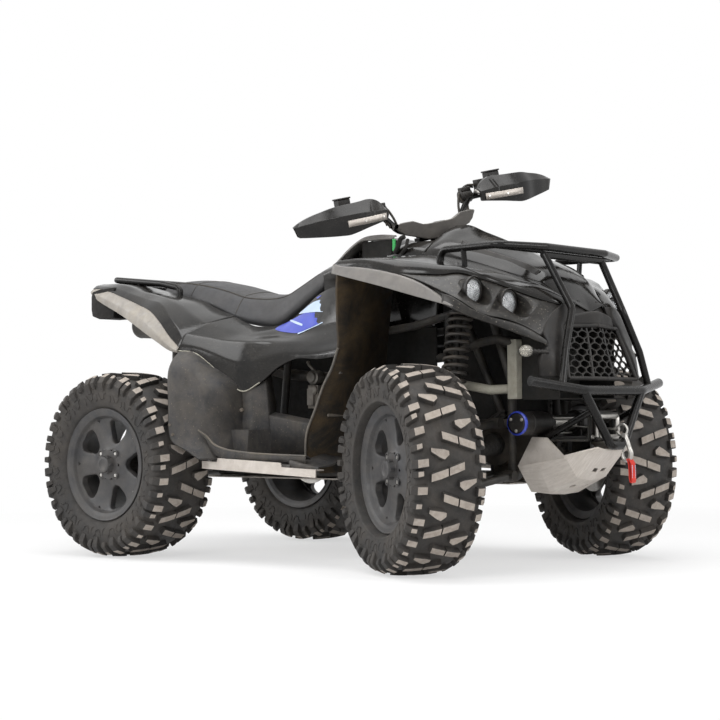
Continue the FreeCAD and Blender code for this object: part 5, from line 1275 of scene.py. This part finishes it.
handGuard = {
    # across, foot, fold, top, fronts of the three
    "sections": [(180, 1204, 1238, 1247, 380, 383, 362), (195, 1202, 1239, 1268, 384, 387, 362),
                 (212, 1199, 1240, 1279, 386, 389, 364), (240, 1194, 1242, 1285, 389, 392, 366),
                 (262, 1190, 1243, 1283, 391, 394, 367), (300, 1182, 1243, 1281, 392, 395, 368),
                 (330, 1177, 1243, 1280, 388, 392, 364), (360, 1179, 1243, 1278, 377, 382, 354),
                 (400, 1184, 1242, 1270, 352, 358, 334), (440, 1190, 1239, 1261, 333, 341, 322),
                 (470, 1195, 1237, 1250, 318, 326, 312), (487, 1198, 1235, 1241, 311, 318, 307),
                 (495, 1200, 1234, 1236, 307, 313, 305)],
    "plate": np.array([[(389.5, 191, 1206), (392.5, 191, 1228)], [(392, 212, 1205), (395.2, 212, 1227.5)],
                       [(395.8, 262, 1204), (398.4, 262, 1226)], [(396.6, 300, 1204), (399, 300, 1225.5)],
                       [(393.6, 334, 1204), (396.4, 334, 1225)]]),
}


def makeGuards():
    # the wing as rings of six points across the bar, its aluminium plate, stays and screws
    sections = [(y, [(a, low), (b, fold), (c, high), (c - 16, high), (b - 17, fold), (a - 14, low + 2)])
                for y, low, fold, high, a, b, c in handGuard["sections"]]
    # the two lowest lines stop short of the tip
    lines = runs([[(x, y if k not in (0, 5) else min(y, 483 + (y - 483) * 0.1), z)
                   for k, (x, z) in enumerate(line)]
                  for y, line in sections])
    wing = ringed(np.stack([flowing(line, 40) for line in lines], 1))
    face = skinOf(handGuard["plate"])
    stay = [tube([(280, 375, 1232), (292, 430, 1232), (302, 456, 1228)], 7, 20, 12),
            tube([(300, 200, 1240), (330, 196, 1236), (372, 200, 1226)], 8, 14, 12)]
    screws = [toward(turned([(0, 0), (0, 5), (2.6, 4), (3.2, 0)], 16), place, (1, 0.02, 0.05))
              for place in ((393.5, 203, 1217), (398.2, 272, 1214))]
    piece("hand_guard_wings", both([wing]), ["gloss"], 32, bevel=2.2, segments=3, place=barPlace,
          body="handlebar", hides=("hand_guards",))
    piece("hand_guard_plates", both([face]), ["sheet"], 30, solid=2, inside=1, place=barPlace,
          body="handlebar")
    piece("hand_guard_stays", both(stay + screws), ["bright"], 40, place=barPlace, body="handlebar")


controls = {"across": 225, "grip": 264, "ridges": 10, "ridgeStep": 11, "lever": 6, "cables": (4.4, 3.6, 3.4)}


def makeControls():
    # housings with a reservoir, ribbed grips, levers and three cables on each side of the bar
    boxes, rubber, steel, cables = [], [], [], []
    drum = turned([(-22, 0), (-22, 21), (-18, 23), (18, 23), (22, 21), (22, 0)], 24)
    knob = turned([(-7, 0), (-6, 7), (0, 8.5), (6, 7), (7, 0)], 14)
    grips = [(0, 0), (0, 17), (3, 20), (6, 20), (8, 17.4)]
    for at in range(14, 14 + controls["ridges"] * controls["ridgeStep"], controls["ridgeStep"]):
        grips += [(at, 17.6), (at + 2, 16.4), (at + 7, 16.4), (at + 9, 17.6)]
    grips += [(126, 18.5), (130, 16), (131, 0)]
    for s in (-1, 1):
        y = s * controls["across"]
        near, far = sorted((y - s * 12, y + s * 70))
        boxes += [boxed((238, y + s * 64 - 22, 1276), (284, y + s * 64 + 22, 1298)),
                  boxed((235, y + s * 64 - 25, 1298), (287, y + s * 64 + 25, 1304)),
                  boxed((262, near, 1222), (298, far, 1280)),
                  toward(drum, (282, y - s * 60, 1231), (0, 1, 0)),
                  boxed((268, y - s * 60 - 18, 1248), (300, y - s * 60 + 18, 1262))]
        lever = [(296, y, 1250), (330, y + s * 20, 1251), (332, y + s * 60, 1249), (326, y + s * 148, 1243)]
        steel += [tube(lever, controls["lever"], 15, 12), toward(knob, (326, y + s * 150, 1243), (0, 1, 0))]
        rubber.append(toward(turned(grips, 24), (282, s * controls["grip"], 1232), (-0.03, s, 0)))
        paths = [[(270, y - s * 4, 1262), (270, y - s * 40, 1266), (284, y - s * 80, 1244),
                  (296, y - s * 98, 1206), (306, s * 120, 1168)],
                 [(284, y - s * 74, 1238), (290, y - s * 84, 1226), (300, y - s * 72, 1200),
                  (310, s * 150, 1172)],
                 [(262, y - s * 14, 1256), (276, y - s * 54, 1262), (294, y - s * 62, 1226),
                  (304, s * 158, 1182)]]
        cables += [tube(flowing(path, 30), radius, sides=10)
                   for path, radius in zip(paths, controls["cables"])]
    piece("control_housings", boxes, ["plastic"], 35, bevel=2.5, place=barPlace, body="handlebar",
          hides=("controls",))
    piece("grips", rubber, ["rubber"], 35, place=barPlace, body="handlebar")
    piece("levers", steel, ["bright"], 45, place=barPlace, body="handlebar")
    piece("control_cables", cables, ["rubber"], 60, place=barPlace, body="handlebar")


bar = {
    "radius": 11.5, "bend": 42,
    "half": [(278, 415, 1232), (292, 172, 1226), (304, 116, 1152), (306, 60, 1150)],
    # the clamp's cover: across, top, foot, front at the top, front at the foot, back
    "cover": [(0, 1165, 1108, 384, 372, 288), (40, 1165, 1110, 384, 372, 288),
              (58, 1167, 1116, 383, 371, 288), (92, 1183, 1128, 380, 370, 290),
              (122, 1184, 1138, 378, 369, 294), (138, 1183, 1152, 376, 367, 302),
              (146, 1180, 1168, 372, 366, 318)],
}


def makeBar():
    # the bent tube with its clamp, and the cover as rings across it
    half = bar["half"]
    steel = [tube(half + [(x, -y, z) for x, y, z in half[::-1]], bar["radius"], bar["bend"], 20)]
    steel += [boxed((288, y - 14, 1112), (326, y + 14, 1164)) for y in (-38, 38)]
    steel += [boxed((284, -58, 1106), (326, 58, 1120))]
    piece("handlebar_tube", steel, ["tube"], 40, bevel=1, place=barPlace, body="handlebar",
          hides=("handlebar",))
    rows = [(-row[0], *row[1:]) for row in bar["cover"][:0:-1]] + bar["cover"]
    rings = [[(back, y, low + 20), (foot - 4, y, low), (foot, y, low + 3), (face, y, high - 2),
              (face - 3, y, high), (face - 26, y, high - 3), (back, y, high - 22)]
             for y, high, low, face, foot, back in rows]
    piece("handlebar_pad", [ringed(rings)], ["pad"], 25, bevel=3, segments=3, place=barPlace,
          body="handlebar", hides=("handlebar_cover",))


makeGuards()
makeControls()
makeBar()
print("handlebar built")


# Suspension

def coilPath(start, end, radius, turns, sides=20):
    # start + along s L + radius (side cos t + up sin t), with the end turns closed
    start, end = np.asarray(start, float), np.asarray(end, float)
    along = unit(end - start)
    side = unit(np.cross(along, (1, 0, 0)))
    t = np.linspace(0, turns, int(turns * sides))
    rise = (np.clip((t - 0.8) / (turns - 1.6), 0, 1) * 0.94 + 0.02 + np.minimum(t, 0.8) / 0.8 * 0.02
            + np.clip(t - turns + 0.8, 0, 0.8) / 0.8 * 0.02)
    angle = 2 * math.pi * t[:, None]
    ring = side * np.cos(angle) + np.cross(along, side) * np.sin(angle)
    return start + (end - start) * rise[:, None] + radius * ring


shocks = {
    "front_shock": {"top": (637.5, -262, 852), "foot": (637.5, -334, 474), "start": 0.26, "turns": 11},
    "rear_shock": {"top": (-632, -250, 790), "foot": (-632, -315, 308), "start": 0.42, "turns": 10},
}
spring = {"radius": 36.5, "wire": 6.2, "end": 0.92}


def makeShocks(name, top, foot, start, turns):
    # a coil between two seats round a damper, both turned about the line between the eyes
    top, foot, across = np.array(top, float), np.array(foot, float), (1, 0, 0)
    length = np.linalg.norm(top - foot)
    way = (top - foot) / length
    low, high = length * start, length * spring["end"]
    coil = tube(coilPath(foot + way * low, foot + way * high, spring["radius"], turns), spring["wire"],
                sides=10)
    body = [(18, 0), (18, 19), (22, 21), (low - 8, 21), (low - 6, 40), (low - 2, 43), (low + 3, 43),
            (low + 3, 24), (low + 50, 23), (low + 52, 10), (high - 12, 10), (high - 10, 24), (high - 3, 24),
            (high - 3, 43), (high + 3, 43), (high + 8, 34), (high + 12, 18), (length - 8, 14),
            (length - 6, 0)]
    parts = [toward(turned(body, 28), foot, way, across)]
    for at in (low - 24, low - 33):
        parts.append(toward(turned([(at, 20), (at, 26), (at + 5, 26), (at + 5, 20)], 24), foot, way, across))
    eye = turned([(-15, 8), (-15, 15), (-12, 17), (12, 17), (15, 15), (15, 8)], 20)
    parts += [toward(eye, end, across) for end in (top, foot)]
    for end in (top, foot):
        for sign in (-1, 1):
            parts += bolt(end + [sign * 15, 0, 0], (sign, 0, 0), 8, 1)
    piece(name + "_springs", both([coil]), ["spring"], 60, hides=(name + "s",))
    piece(name + "_dampers", both(parts), ["plastic", "dusty"], 35)


for name, sizes in shocks.items():
    makeShocks(name, **sizes)


# each axle's place along and the outer end of its half shafts
halfShaft = {"inner": (93, 400), "outer": {"front": (637.5, 415, 330), "rear": (-693.5, 425, 330)}}


def bellows(start, wide, narrow, reach, count):
    # ridges and grooves 5 mm deep by turns along a cone
    share = [k / (2 * count) for k in range(2 * count + 1)]
    return [(start + reach * s, wide + (narrow - wide) * s - (0 if k % 2 else 5))
            for k, s in enumerate(share)]


def makeShaftBoots():
    # inner joint, its boot, the bare shaft, the outer boot and joint as one turned outline
    blocks = []
    across, high = halfShaft["inner"]
    for x, y, z in halfShaft["outer"].values():
        start, end = np.array([x, -across, high], float), np.array([x, -y, z], float)
        way, length = unit(end - start), np.linalg.norm(end - start)
        line = [(-9, 0), (-9, 38), (8, 38), *bellows(9, 37, 20, 80, 6), (92, 12.5), (length - 96, 12.5),
                *bellows(length - 92, 17, 36, 74, 6), (length - 14, 36), (length + 4, 34), (length + 22, 26),
                (length + 26, 0)]
        blocks.append(toward(turned(line, 28), start, way))
    piece("half_shaft_boots", both(blocks), ["rubber"], 34, hides=("half_shafts",))


makeShaftBoots()
print("suspension built")


# Winch, fairlead and hook

winch = {
    "centre": (835, 0, 470), "turns": 20, "pitch": 6.4, "rope": 3.1, "coil": 22.5, "rods": 33,
    # outlines along the drum's axis
    "motor": [(-244, 0), (-244, 27), (-240, 33), (-236, 36), (-230, 38), (-196, 38), (-194, 36), (-190, 36),
              (-188, 38), (-100, 38), (-96, 34), (-82, 34), (-82, 0)],
    "gear": [(74, 0), (74, 36), (80, 42), (100, 42), (102, 40), (106, 40), (108, 42), (150, 42), (158, 38),
             (165, 30), (165, 0)],
    "drum": [(-74, 0), (-74, 34), (-70, 34), (-69, 20), (68, 20), (69, 34), (73, 34), (73, 0)],
    "ring": [(-243, 33.6), (-240, 38), (-236, 38.9), (-233.5, 38.2), (-235, 36), (-241.5, 33)],
}


def makeWinch():
    # motor, gear case and drum turned about one axis, on a foot, with three tie rods and the rope's turns
    centre = np.array(winch["centre"], float)
    x, z = centre[0], centre[2]
    motor, gear, drum, ring = (toward(turned(winch[key], sides), centre, (0, 1, 0))
                               for key, sides in (("motor", 36), ("gear", 36), ("drum", 32), ("ring", 36)))
    body = [motor, gear, boxed((797, -105, 418), (873, 105, 426))]
    body += [boxed((803, wall, 426), (867, wall + 8, 486)) for wall in (-82, 74)] + [drum]
    bright = []
    for a in (2 * math.pi * k / 3 + 0.5 for k in range(3)):
        bright += bolt(centre + [24 * math.cos(a), -243, 24 * math.sin(a)], (0, -1, 0), 4)
        across, up = x + winch["rods"] * math.cos(a), z + winch["rods"] * math.sin(a)
        bright.append(tube([(across, -80, up), (across, 78, up)], 4, sides=10))
    turns = np.linspace(0, winch["turns"], 480)
    angle, coil = 2 * np.pi * turns, winch["coil"]
    wound = [x + coil * np.cos(angle), turns * winch["pitch"] - 66, z + coil * np.sin(angle)]
    rope = tube(np.stack(wound, 1), winch["rope"], sides=6)
    piece("winch_body", body, ["plastic"], 32, bevel=1.2, hides=("winch",))
    piece("winch_bolts", bright, ["bright"], 35)
    piece("winch_ring", [ring], ["blue"], 35)
    piece("winch_rope_turns", [rope], ["bright"], 60)


fairlead = {
    "front": 1000.3, "thickness": 5, "axis": 1016.3,
    # bars about the opening: middle across, middle up, width, height
    "bars": ((0, 416.5, 150, 9), (0, 504, 150, 8), (-61.5, 460, 27, 96), (61.5, 460, 27, 96)),
    "lying": [(-56, 0), (-56, 8), (-52, 9), (52, 9), (56, 8), (56, 0)],
    "standing": [(0, 0), (0, 8), (3, 9.5), (62, 9.5), (65, 8), (65, 0)],
}


def makeFairlead():
    # a plate of four bars, two lips, two lying and two standing rollers, and four bolts
    front, back, axis = fairlead["front"], fairlead["front"] + fairlead["thickness"], fairlead["axis"]
    dark = [boxed((front, y - w / 2, z - h / 2), (back, y + w / 2, z + h / 2))
            for y, z, w, h in fairlead["bars"]]
    dark += [boxed((1003, -65, z), (1017, 65, z + 5)) for z in (413, 498)]
    steel = [toward(turned(fairlead["lying"], 24), (axis, 0, z), (0, 1, 0)) for z in (424, 490)]
    steel += [toward(turned(fairlead["standing"], 24), (axis, y, 424), (0, 0, 1), (1, 0, 0))
              for y in (-56, 56)]
    for y in (-69, 69):
        for z in (425, 495):
            steel += bolt((1005.5, y, z), (1, 0, 0), 5.5)
    piece("fairlead_frame", dark, ["plastic"], 32, bevel=1.5, hides=("fairlead",))
    piece("fairlead_rollers", steel, ["bright"], 34)


hook = {
    "rope": 3.1, "ring": 18, "wire": 4,
    "curl": [(1080, 0, 432), (1090, 0, 410), (1096, 0, 392), (1103, 0, 372), (1098, 0, 356), (1084, 0, 351),
             (1074, 0, 360), (1072, 0, 374)],
    # folded strap, its bends, and places across it
    "strap": [(1094, 0, 356), (1100, 0, 340), (1104, 0, 284), (1109, 0, 279), (1112, 0, 284), (1110, 0, 342),
              (1100, 0, 357)],
    "bends": [8, 14, 4, 4, 10], "across": (-12.5, -6, 0, 6, 12.5),
}


def makeHook():
    # taut rope, ferrule and ring; a hook with its pin and latch; webbing with two rows of stitches
    t = np.linspace(0, 2 * math.pi, 33)
    ring = np.stack([1072 + hook["ring"] * np.cos(t), t * 0, 447 + hook["ring"] * np.sin(t)], 1)
    thick = np.interp(np.arange(30), [0, 8, 18, 29], [7, 7.5, 8, 5])
    steel = [tube([(861, 0, 461), (1054, 0, 449.5)], hook["rope"], sides=10),
             tube(ring, hook["wire"], sides=10), tube([(1046, 0, 450), (1060, 0, 450)], 6.5, sides=12),
             tube(flowing(hook["curl"], 30), thick, sides=12),
             tube([(1073, 0, 378), (1088, 0, 402)], 3, sides=8),
             toward(turned([(-9, 0), (-9, 7), (9, 7), (9, 0)], 16), (1080, 0, 430), (0, 1, 0))]
    path = flowing(rounded(hook["strap"], hook["bends"], 5), 40)
    web = np.stack([path + [0, y, 0] for y in hook["across"]], 1)
    web[:, 2, 0] += 0.5
    red = [skinOf(web)]
    for z in np.arange(296, 336, 5.2):
        red += [boxed((1112.1, y - 0.6, z), (1112.9, y + 0.6, z + 3.4), 1) for y in (-9, 9)]
    piece("hook_steel", steel, ["bright"], 50, hides=("tow_hook",))
    piece("hook_strap", red, ["red", "white"], 50, solid=1.6, inside=0)


makeWinch()
makeFairlead()
makeHook()
print("winch built")


# Engine, cooling and exhaust

engine = {
    "fins": 7, "finStep": 10, "bolts": 8, "grooves": 5,
    # the round covers: outline, and each one's place along and its size
    "cover": [(-26, 0), (-26, 118), (-20, 128), (-4, 132), (0, 130), (0, 0)],
    "covers": ((10, 0.74), (215, 0.86)),
    "axis": 425, "face": 122,
}


def makeEngine():
    # crankcase and finned cylinder, covers with bolts on both sides and dark rings painted as the shade in
    # one cover's grooves, filler necks, and hoses
    alloy = [boxed((-86, -118, 307), (326, 118, 520)), boxed((60, -70, 520), (190, 70, 560))]
    for z in range(562, 562 + engine["fins"] * engine["finStep"], engine["finStep"]):
        alloy.append(boxed((48, -86, z), (202, 86, z + 5)))
    alloy.append(boxed((62, -72, 560), (188, 72, 655)))
    up = engine["axis"]
    for x, size in engine["covers"]:
        for side in (-1, 1):
            points, faces, which = turned([(a, r * size) for a, r in engine["cover"]], 40)
            alloy.append(toward((points * [-1, 1, 1], faces, which), (x, side * engine["face"], up),
                                (0, side, 0)))
            for k in range(engine["bolts"]):
                a = k * math.pi / 4 + 0.2
                place = (x + 118 * size * math.cos(a), side * 146, up + 118 * size * math.sin(a))
                alloy += bolt(place, (0, side, 0), 5)
    dark = []
    # the grooves are dark rings laid on the cover: painted shade in the grooves
    for r in range(96, 96 - 16 * engine["grooves"], -16):
        dark.append(toward(turned([(0, r), (0, r + 3), (3, r + 3), (3, r)], 36), (215, -148.5, up),
                           (0, -1, 0)))
    alloy += [toward(turned([(0, 0), (0, 24), (8, 26), (40, 26), (44, 20), (52, 18), (54, 0)], 24),
                     (-96, -130, 634), (0, -1, 0)),
              toward(turned([(0, 0), (0, 20), (40, 20), (46, 14), (48, 0)], 24), (-92, -136, 588),
                     (0, -1, 0)),
              boxed((-118, -170, 524), (-70, -132, 606)), boxed((-112, -182, 536), (-84, -168, 594)),
              tube([(-92, -160, 655), (-104, -176, 676), (-112, -178, 690)], 6, 12, 12)]
    dark += [boxed((-70, -95, 540), (50, 95, 640)), boxed((205, -80, 560), (300, 80, 640))]
    hoses = [tube([(130, -60, 640), (160, -130, 620), (190, -146, 540), (240, -146, 500)], 12, 40, 14),
             tube([(60, -90, 600), (-20, -135, 590), (-60, -140, 520), (-40, -140, 460)], 9, 30, 12)]
    piece("engine_castings", alloy, ["engine"], 32, bevel=5, hides=("engine",))
    piece("engine_covers", dark, ["plastic"], 32, bevel=6)
    piece("engine_hoses", hoses, ["rubber"], 50)


radiator = {
    "core": ((768, -158, 556), (794, 158, 730)), "finStep": 6.0, "fin": 1.6, "tank": (158, 189),
    "pale": [(752, -172, 580), (700, -196, 578), (640, -214, 590), (560, -206, 602), (430, -146, 600)],
    "top": [(776, -176, 728), (730, -196, 742), (650, -196, 728), (520, -152, 700), (420, -100, 690)],
    "far": [(752, 172, 700), (690, 190, 690), (600, 180, 660), (430, 120, 640)],
}


def makeRadiator():
    # core with its fins, a tank at each side with a neck, the filler cap, and three hoses
    core = [boxed(*radiator["core"])]
    for z in np.arange(560, 728, radiator["finStep"]):
        core.append(boxed((764, -158, z), (798, 158, z + radiator["fin"])))
    tanks = []
    for side, neck in ((-1, 580), (1, 700)):
        low, high = sorted(side * y for y in radiator["tank"])
        tanks.append(boxed((763, low, 547), (799, high, 738)))
        tanks.append(toward(turned([(0, 0), (0, 15), (22, 15), (22, 0)], 18), (766, side * 172, neck),
                            (-1, 0, 0)))
    cap = turned([(0, 0), (0, 20), (9, 20), (12, 17), (12, 0)], 12)
    tanks.append(toward(cap, (781, -150, 727), (0, 0, 1), (1, 0, 0)))
    piece("radiator_core", core, ["dusty"], 30, hides=("radiator",))
    piece("radiator_tanks", tanks, ["bone"], 32, bevel=5)
    piece("radiator_hoses", [tube(radiator["pale"], 15, 60, 16)], ["bone"], 50)
    dark = [tube(radiator["top"], 14, 60, 16), tube(radiator["far"], 15, 60, 16)]
    piece("radiator_dark_hoses", dark, ["rubber"], 50)


muffler = {
    "place": (-962, -206, 848), "way": (1, 0, -0.06), "size": 0.9,
    "outline": [(0, 0), (0, 18), (-2, 20), (-4, 18), (4, 17), (6, 40), (9, 50), (16, 52), (18, 53), (21, 52),
                (276, 52), (279, 53), (282, 52), (294, 46), (300, 30), (300, 0)],
    "pipe": [(-664, -206, 830), (-600, -196, 790), (-500, -150, 710), (-300, -90, 650), (60, -60, 620)],
    "hanger": ((-925, -212, 846), (-895, -150, 876)),
}


def makeExhaust():
    # a turned can with rolled seams, its hanger, and the bent pipe to the engine
    can = turned([(along, radius * muffler["size"]) for along, radius in muffler["outline"]], 40)
    piece("muffler_can", [toward(can, muffler["place"], muffler["way"]), boxed(*muffler["hanger"])],
          ["spring"], 34, hides=("muffler",))
    piece("exhaust_pipe", [tube(muffler["pipe"], 19, 60, 18)], ["spring"], 50)


# painted shade: the opposite corners of each dark plate
bayShade = [((-470, -2, 300), (330, 2, 800)), ((330, 38, 470), (762, 42, 880)),
          ((736, -150, 560), (762, 150, 730))]


def makeBayShade():
    # dark plates painted as the shade in the bays between the engine, the tank and the front end, closing
    # them
    piece("bay_shade_plates", [boxed(*corners) for corners in bayShade], ["cavity"], 30)


makeEngine()
makeBayShade()
makeRadiator()
makeExhaust()
print("engine built")


# Guards under the arms and small fittings

armGuard = [[(560, -205, 280), (600, -290, 262), (622, -380, 246)],
            [(637, -200, 262), (637, -290, 245), (637, -385, 236)],
            [(715, -205, 280), (675, -290, 262), (653, -380, 246)]]


def makeArmGuards():
    # a dished plate under the front arms with its edges turned up
    back, middle, front = armGuard
    plate = [moved(back, (-6, 0, 26)), back, middle, front, moved(front, (6, 0, 26))]
    wall("front_arm_guards", plate, 24, [8, 40, 8], "plastic", 34)


makeArmGuards()
print("fittings built")


# Stage

studio = {
    "reach": 30, "floor": ("eeeeee", "f4f4f4"), "near": 1.6, "far": 3.6, "white": 0.6, "strength": 0.7,
    # the room's tone by height: from and to
    "room": ((0.05, (0.16, 0.16, 0.165, 1)), (0.75, (0.9, 0.9, 0.9, 1))),
}


def seenBy(n):
    # 1 for rays from the camera, off gloss and through glass
    path = n.add("LightPath").outputs
    return n.times(n.times(path["Is Camera Ray"], path["Is Glossy Ray"], "MAXIMUM"),
                   path["Is Transmission Ray"], "MAXIMUM")


def makeFloor():
    # those rays see white far from the object, and part of the real floor near it, which keeps the shadow
    n = Nodes(bpy.data.materials.new("floor"))
    seen = seenBy(n)
    pale = n.mix(n.span(n.noise(0.6, 3), 0.3, 0.7), *(tone(colour) for colour in studio["floor"]))
    matt = n.add("BsdfDiffuse", {"Color": pale})
    glow = n.add("Emission", Color=(1, 1, 1, 1), Strength=1.0)
    away = n.add("VectorMath", {0: n.place}, operation="LENGTH").outputs["Value"]
    part = n.times(seen, n.span(away, studio["near"], studio["far"], studio["white"], 1.0))
    shown = n.add("MixShader", {0: part, 1: matt.outputs[0], 2: glow.outputs[0]})
    n.add("OutputMaterial", {"Surface": shown.outputs[0]})
    mesh = bpy.data.meshes.new("floor")
    reach = studio["reach"]
    corners = [(-reach, -reach, 0), (reach, -reach, 0), (reach, reach, 0), (-reach, reach, 0)]
    mesh.from_pydata(corners, [], [(0, 1, 2, 3)])
    mesh.materials.append(n.owner)
    floor = bpy.data.objects.new("floor", mesh)
    bpy.context.scene.collection.objects.link(floor)


def makeRoom():
    # the same rays see white; the object is lit by a room that is dark below and pale above
    n = Nodes(bpy.data.worlds.new("studio"))
    bpy.context.scene.world = n.owner
    height = n.add("SeparateXYZ", {"Vector": n.at["Generated"]}).outputs["Z"]
    ramp = n.add("ValToRGB", {"Fac": height})
    for element, values in zip(ramp.color_ramp.elements, studio["room"]):
        element.position, element.color = values
    room = n.add("Background", {"Color": ramp.outputs[0]}, Strength=studio["strength"])
    sky = n.add("Background", Color=(1, 1, 1, 1), Strength=1.0)
    mixed = n.add("MixShader", {0: seenBy(n), 1: room.outputs[0], 2: sky.outputs[0]})
    n.add("OutputWorld", {"Surface": mixed.outputs[0]})


lights = [
    {"name": "top", "place": (0.2, -0.3, 3.6), "at": (0, 0, 0.6), "size": (3.4, 2.6), "power": 95},
    {"name": "key", "place": (1.2, -4.2, 2.6), "at": (0, 0, 0.6), "size": (2.4, 1.6), "power": 75},
    {"name": "front", "place": (4.4, 0.4, 2.2), "at": (0.5, 0, 0.6), "size": (2.0, 1.6), "power": 55},
    {"name": "rear", "place": (-3.6, -1.8, 2.6), "at": (-0.5, 0, 0.7), "size": (2.2, 1.6), "power": 45},
    {"name": "strip", "place": (-3.3, -3.7, 1.9), "at": (-0.2, -0.4, 0.75), "size": (0.45, 2.6), "power": 30},
]


def makeLights():
    # flat lamps, each turned so that it faces its target
    for one in lights:
        light = bpy.data.lights.new(one["name"], "AREA")
        light.shape = "RECTANGLE"
        light.size, light.size_y = one["size"]
        light.energy = one["power"]
        obj = bpy.data.objects.new(one["name"], light)
        obj.location = one["place"]
        obj.rotation_euler = (Vector(one["at"]) - Vector(one["place"])).to_track_quat("-Z", "Y").to_euler()
        bpy.context.scene.collection.objects.link(obj)


makeFloor()
makeRoom()
makeLights()
bpy.context.scene.view_settings.view_transform = "Standard"


# Carried over nodes take the same finishes

finishes = {
    "steel": "frame front_arms rear_arms muffler tow_hitch steering_column tie_rod_right tie_rod_left",
    "engine": "engine",
    "dusty": "differentials radiator knuckle_right knuckle_left",
    "spring": "front_shocks rear_shocks",
    "rubber": "half_shafts",
    "gloss": "front_fenders hood side_panels rear_fenders",
    "plastic": "front_cowl grille winch console controls",
    "glass": "lamps",
    "tube": "front_rack bumper rear_rack handlebar hand_guards",
    "bright": "fairlead tow_hook",
    "sheet": "front_skid_plate under_guards",
    "vinyl": "seat handlebar_cover",
    "guard": "footwells",
    "flap": "mud_flaps",
}
for key, names in finishes.items():
    for name in names.split():
        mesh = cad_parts[name].data
        mesh.materials.clear()
        mesh.materials.append(paint[key])
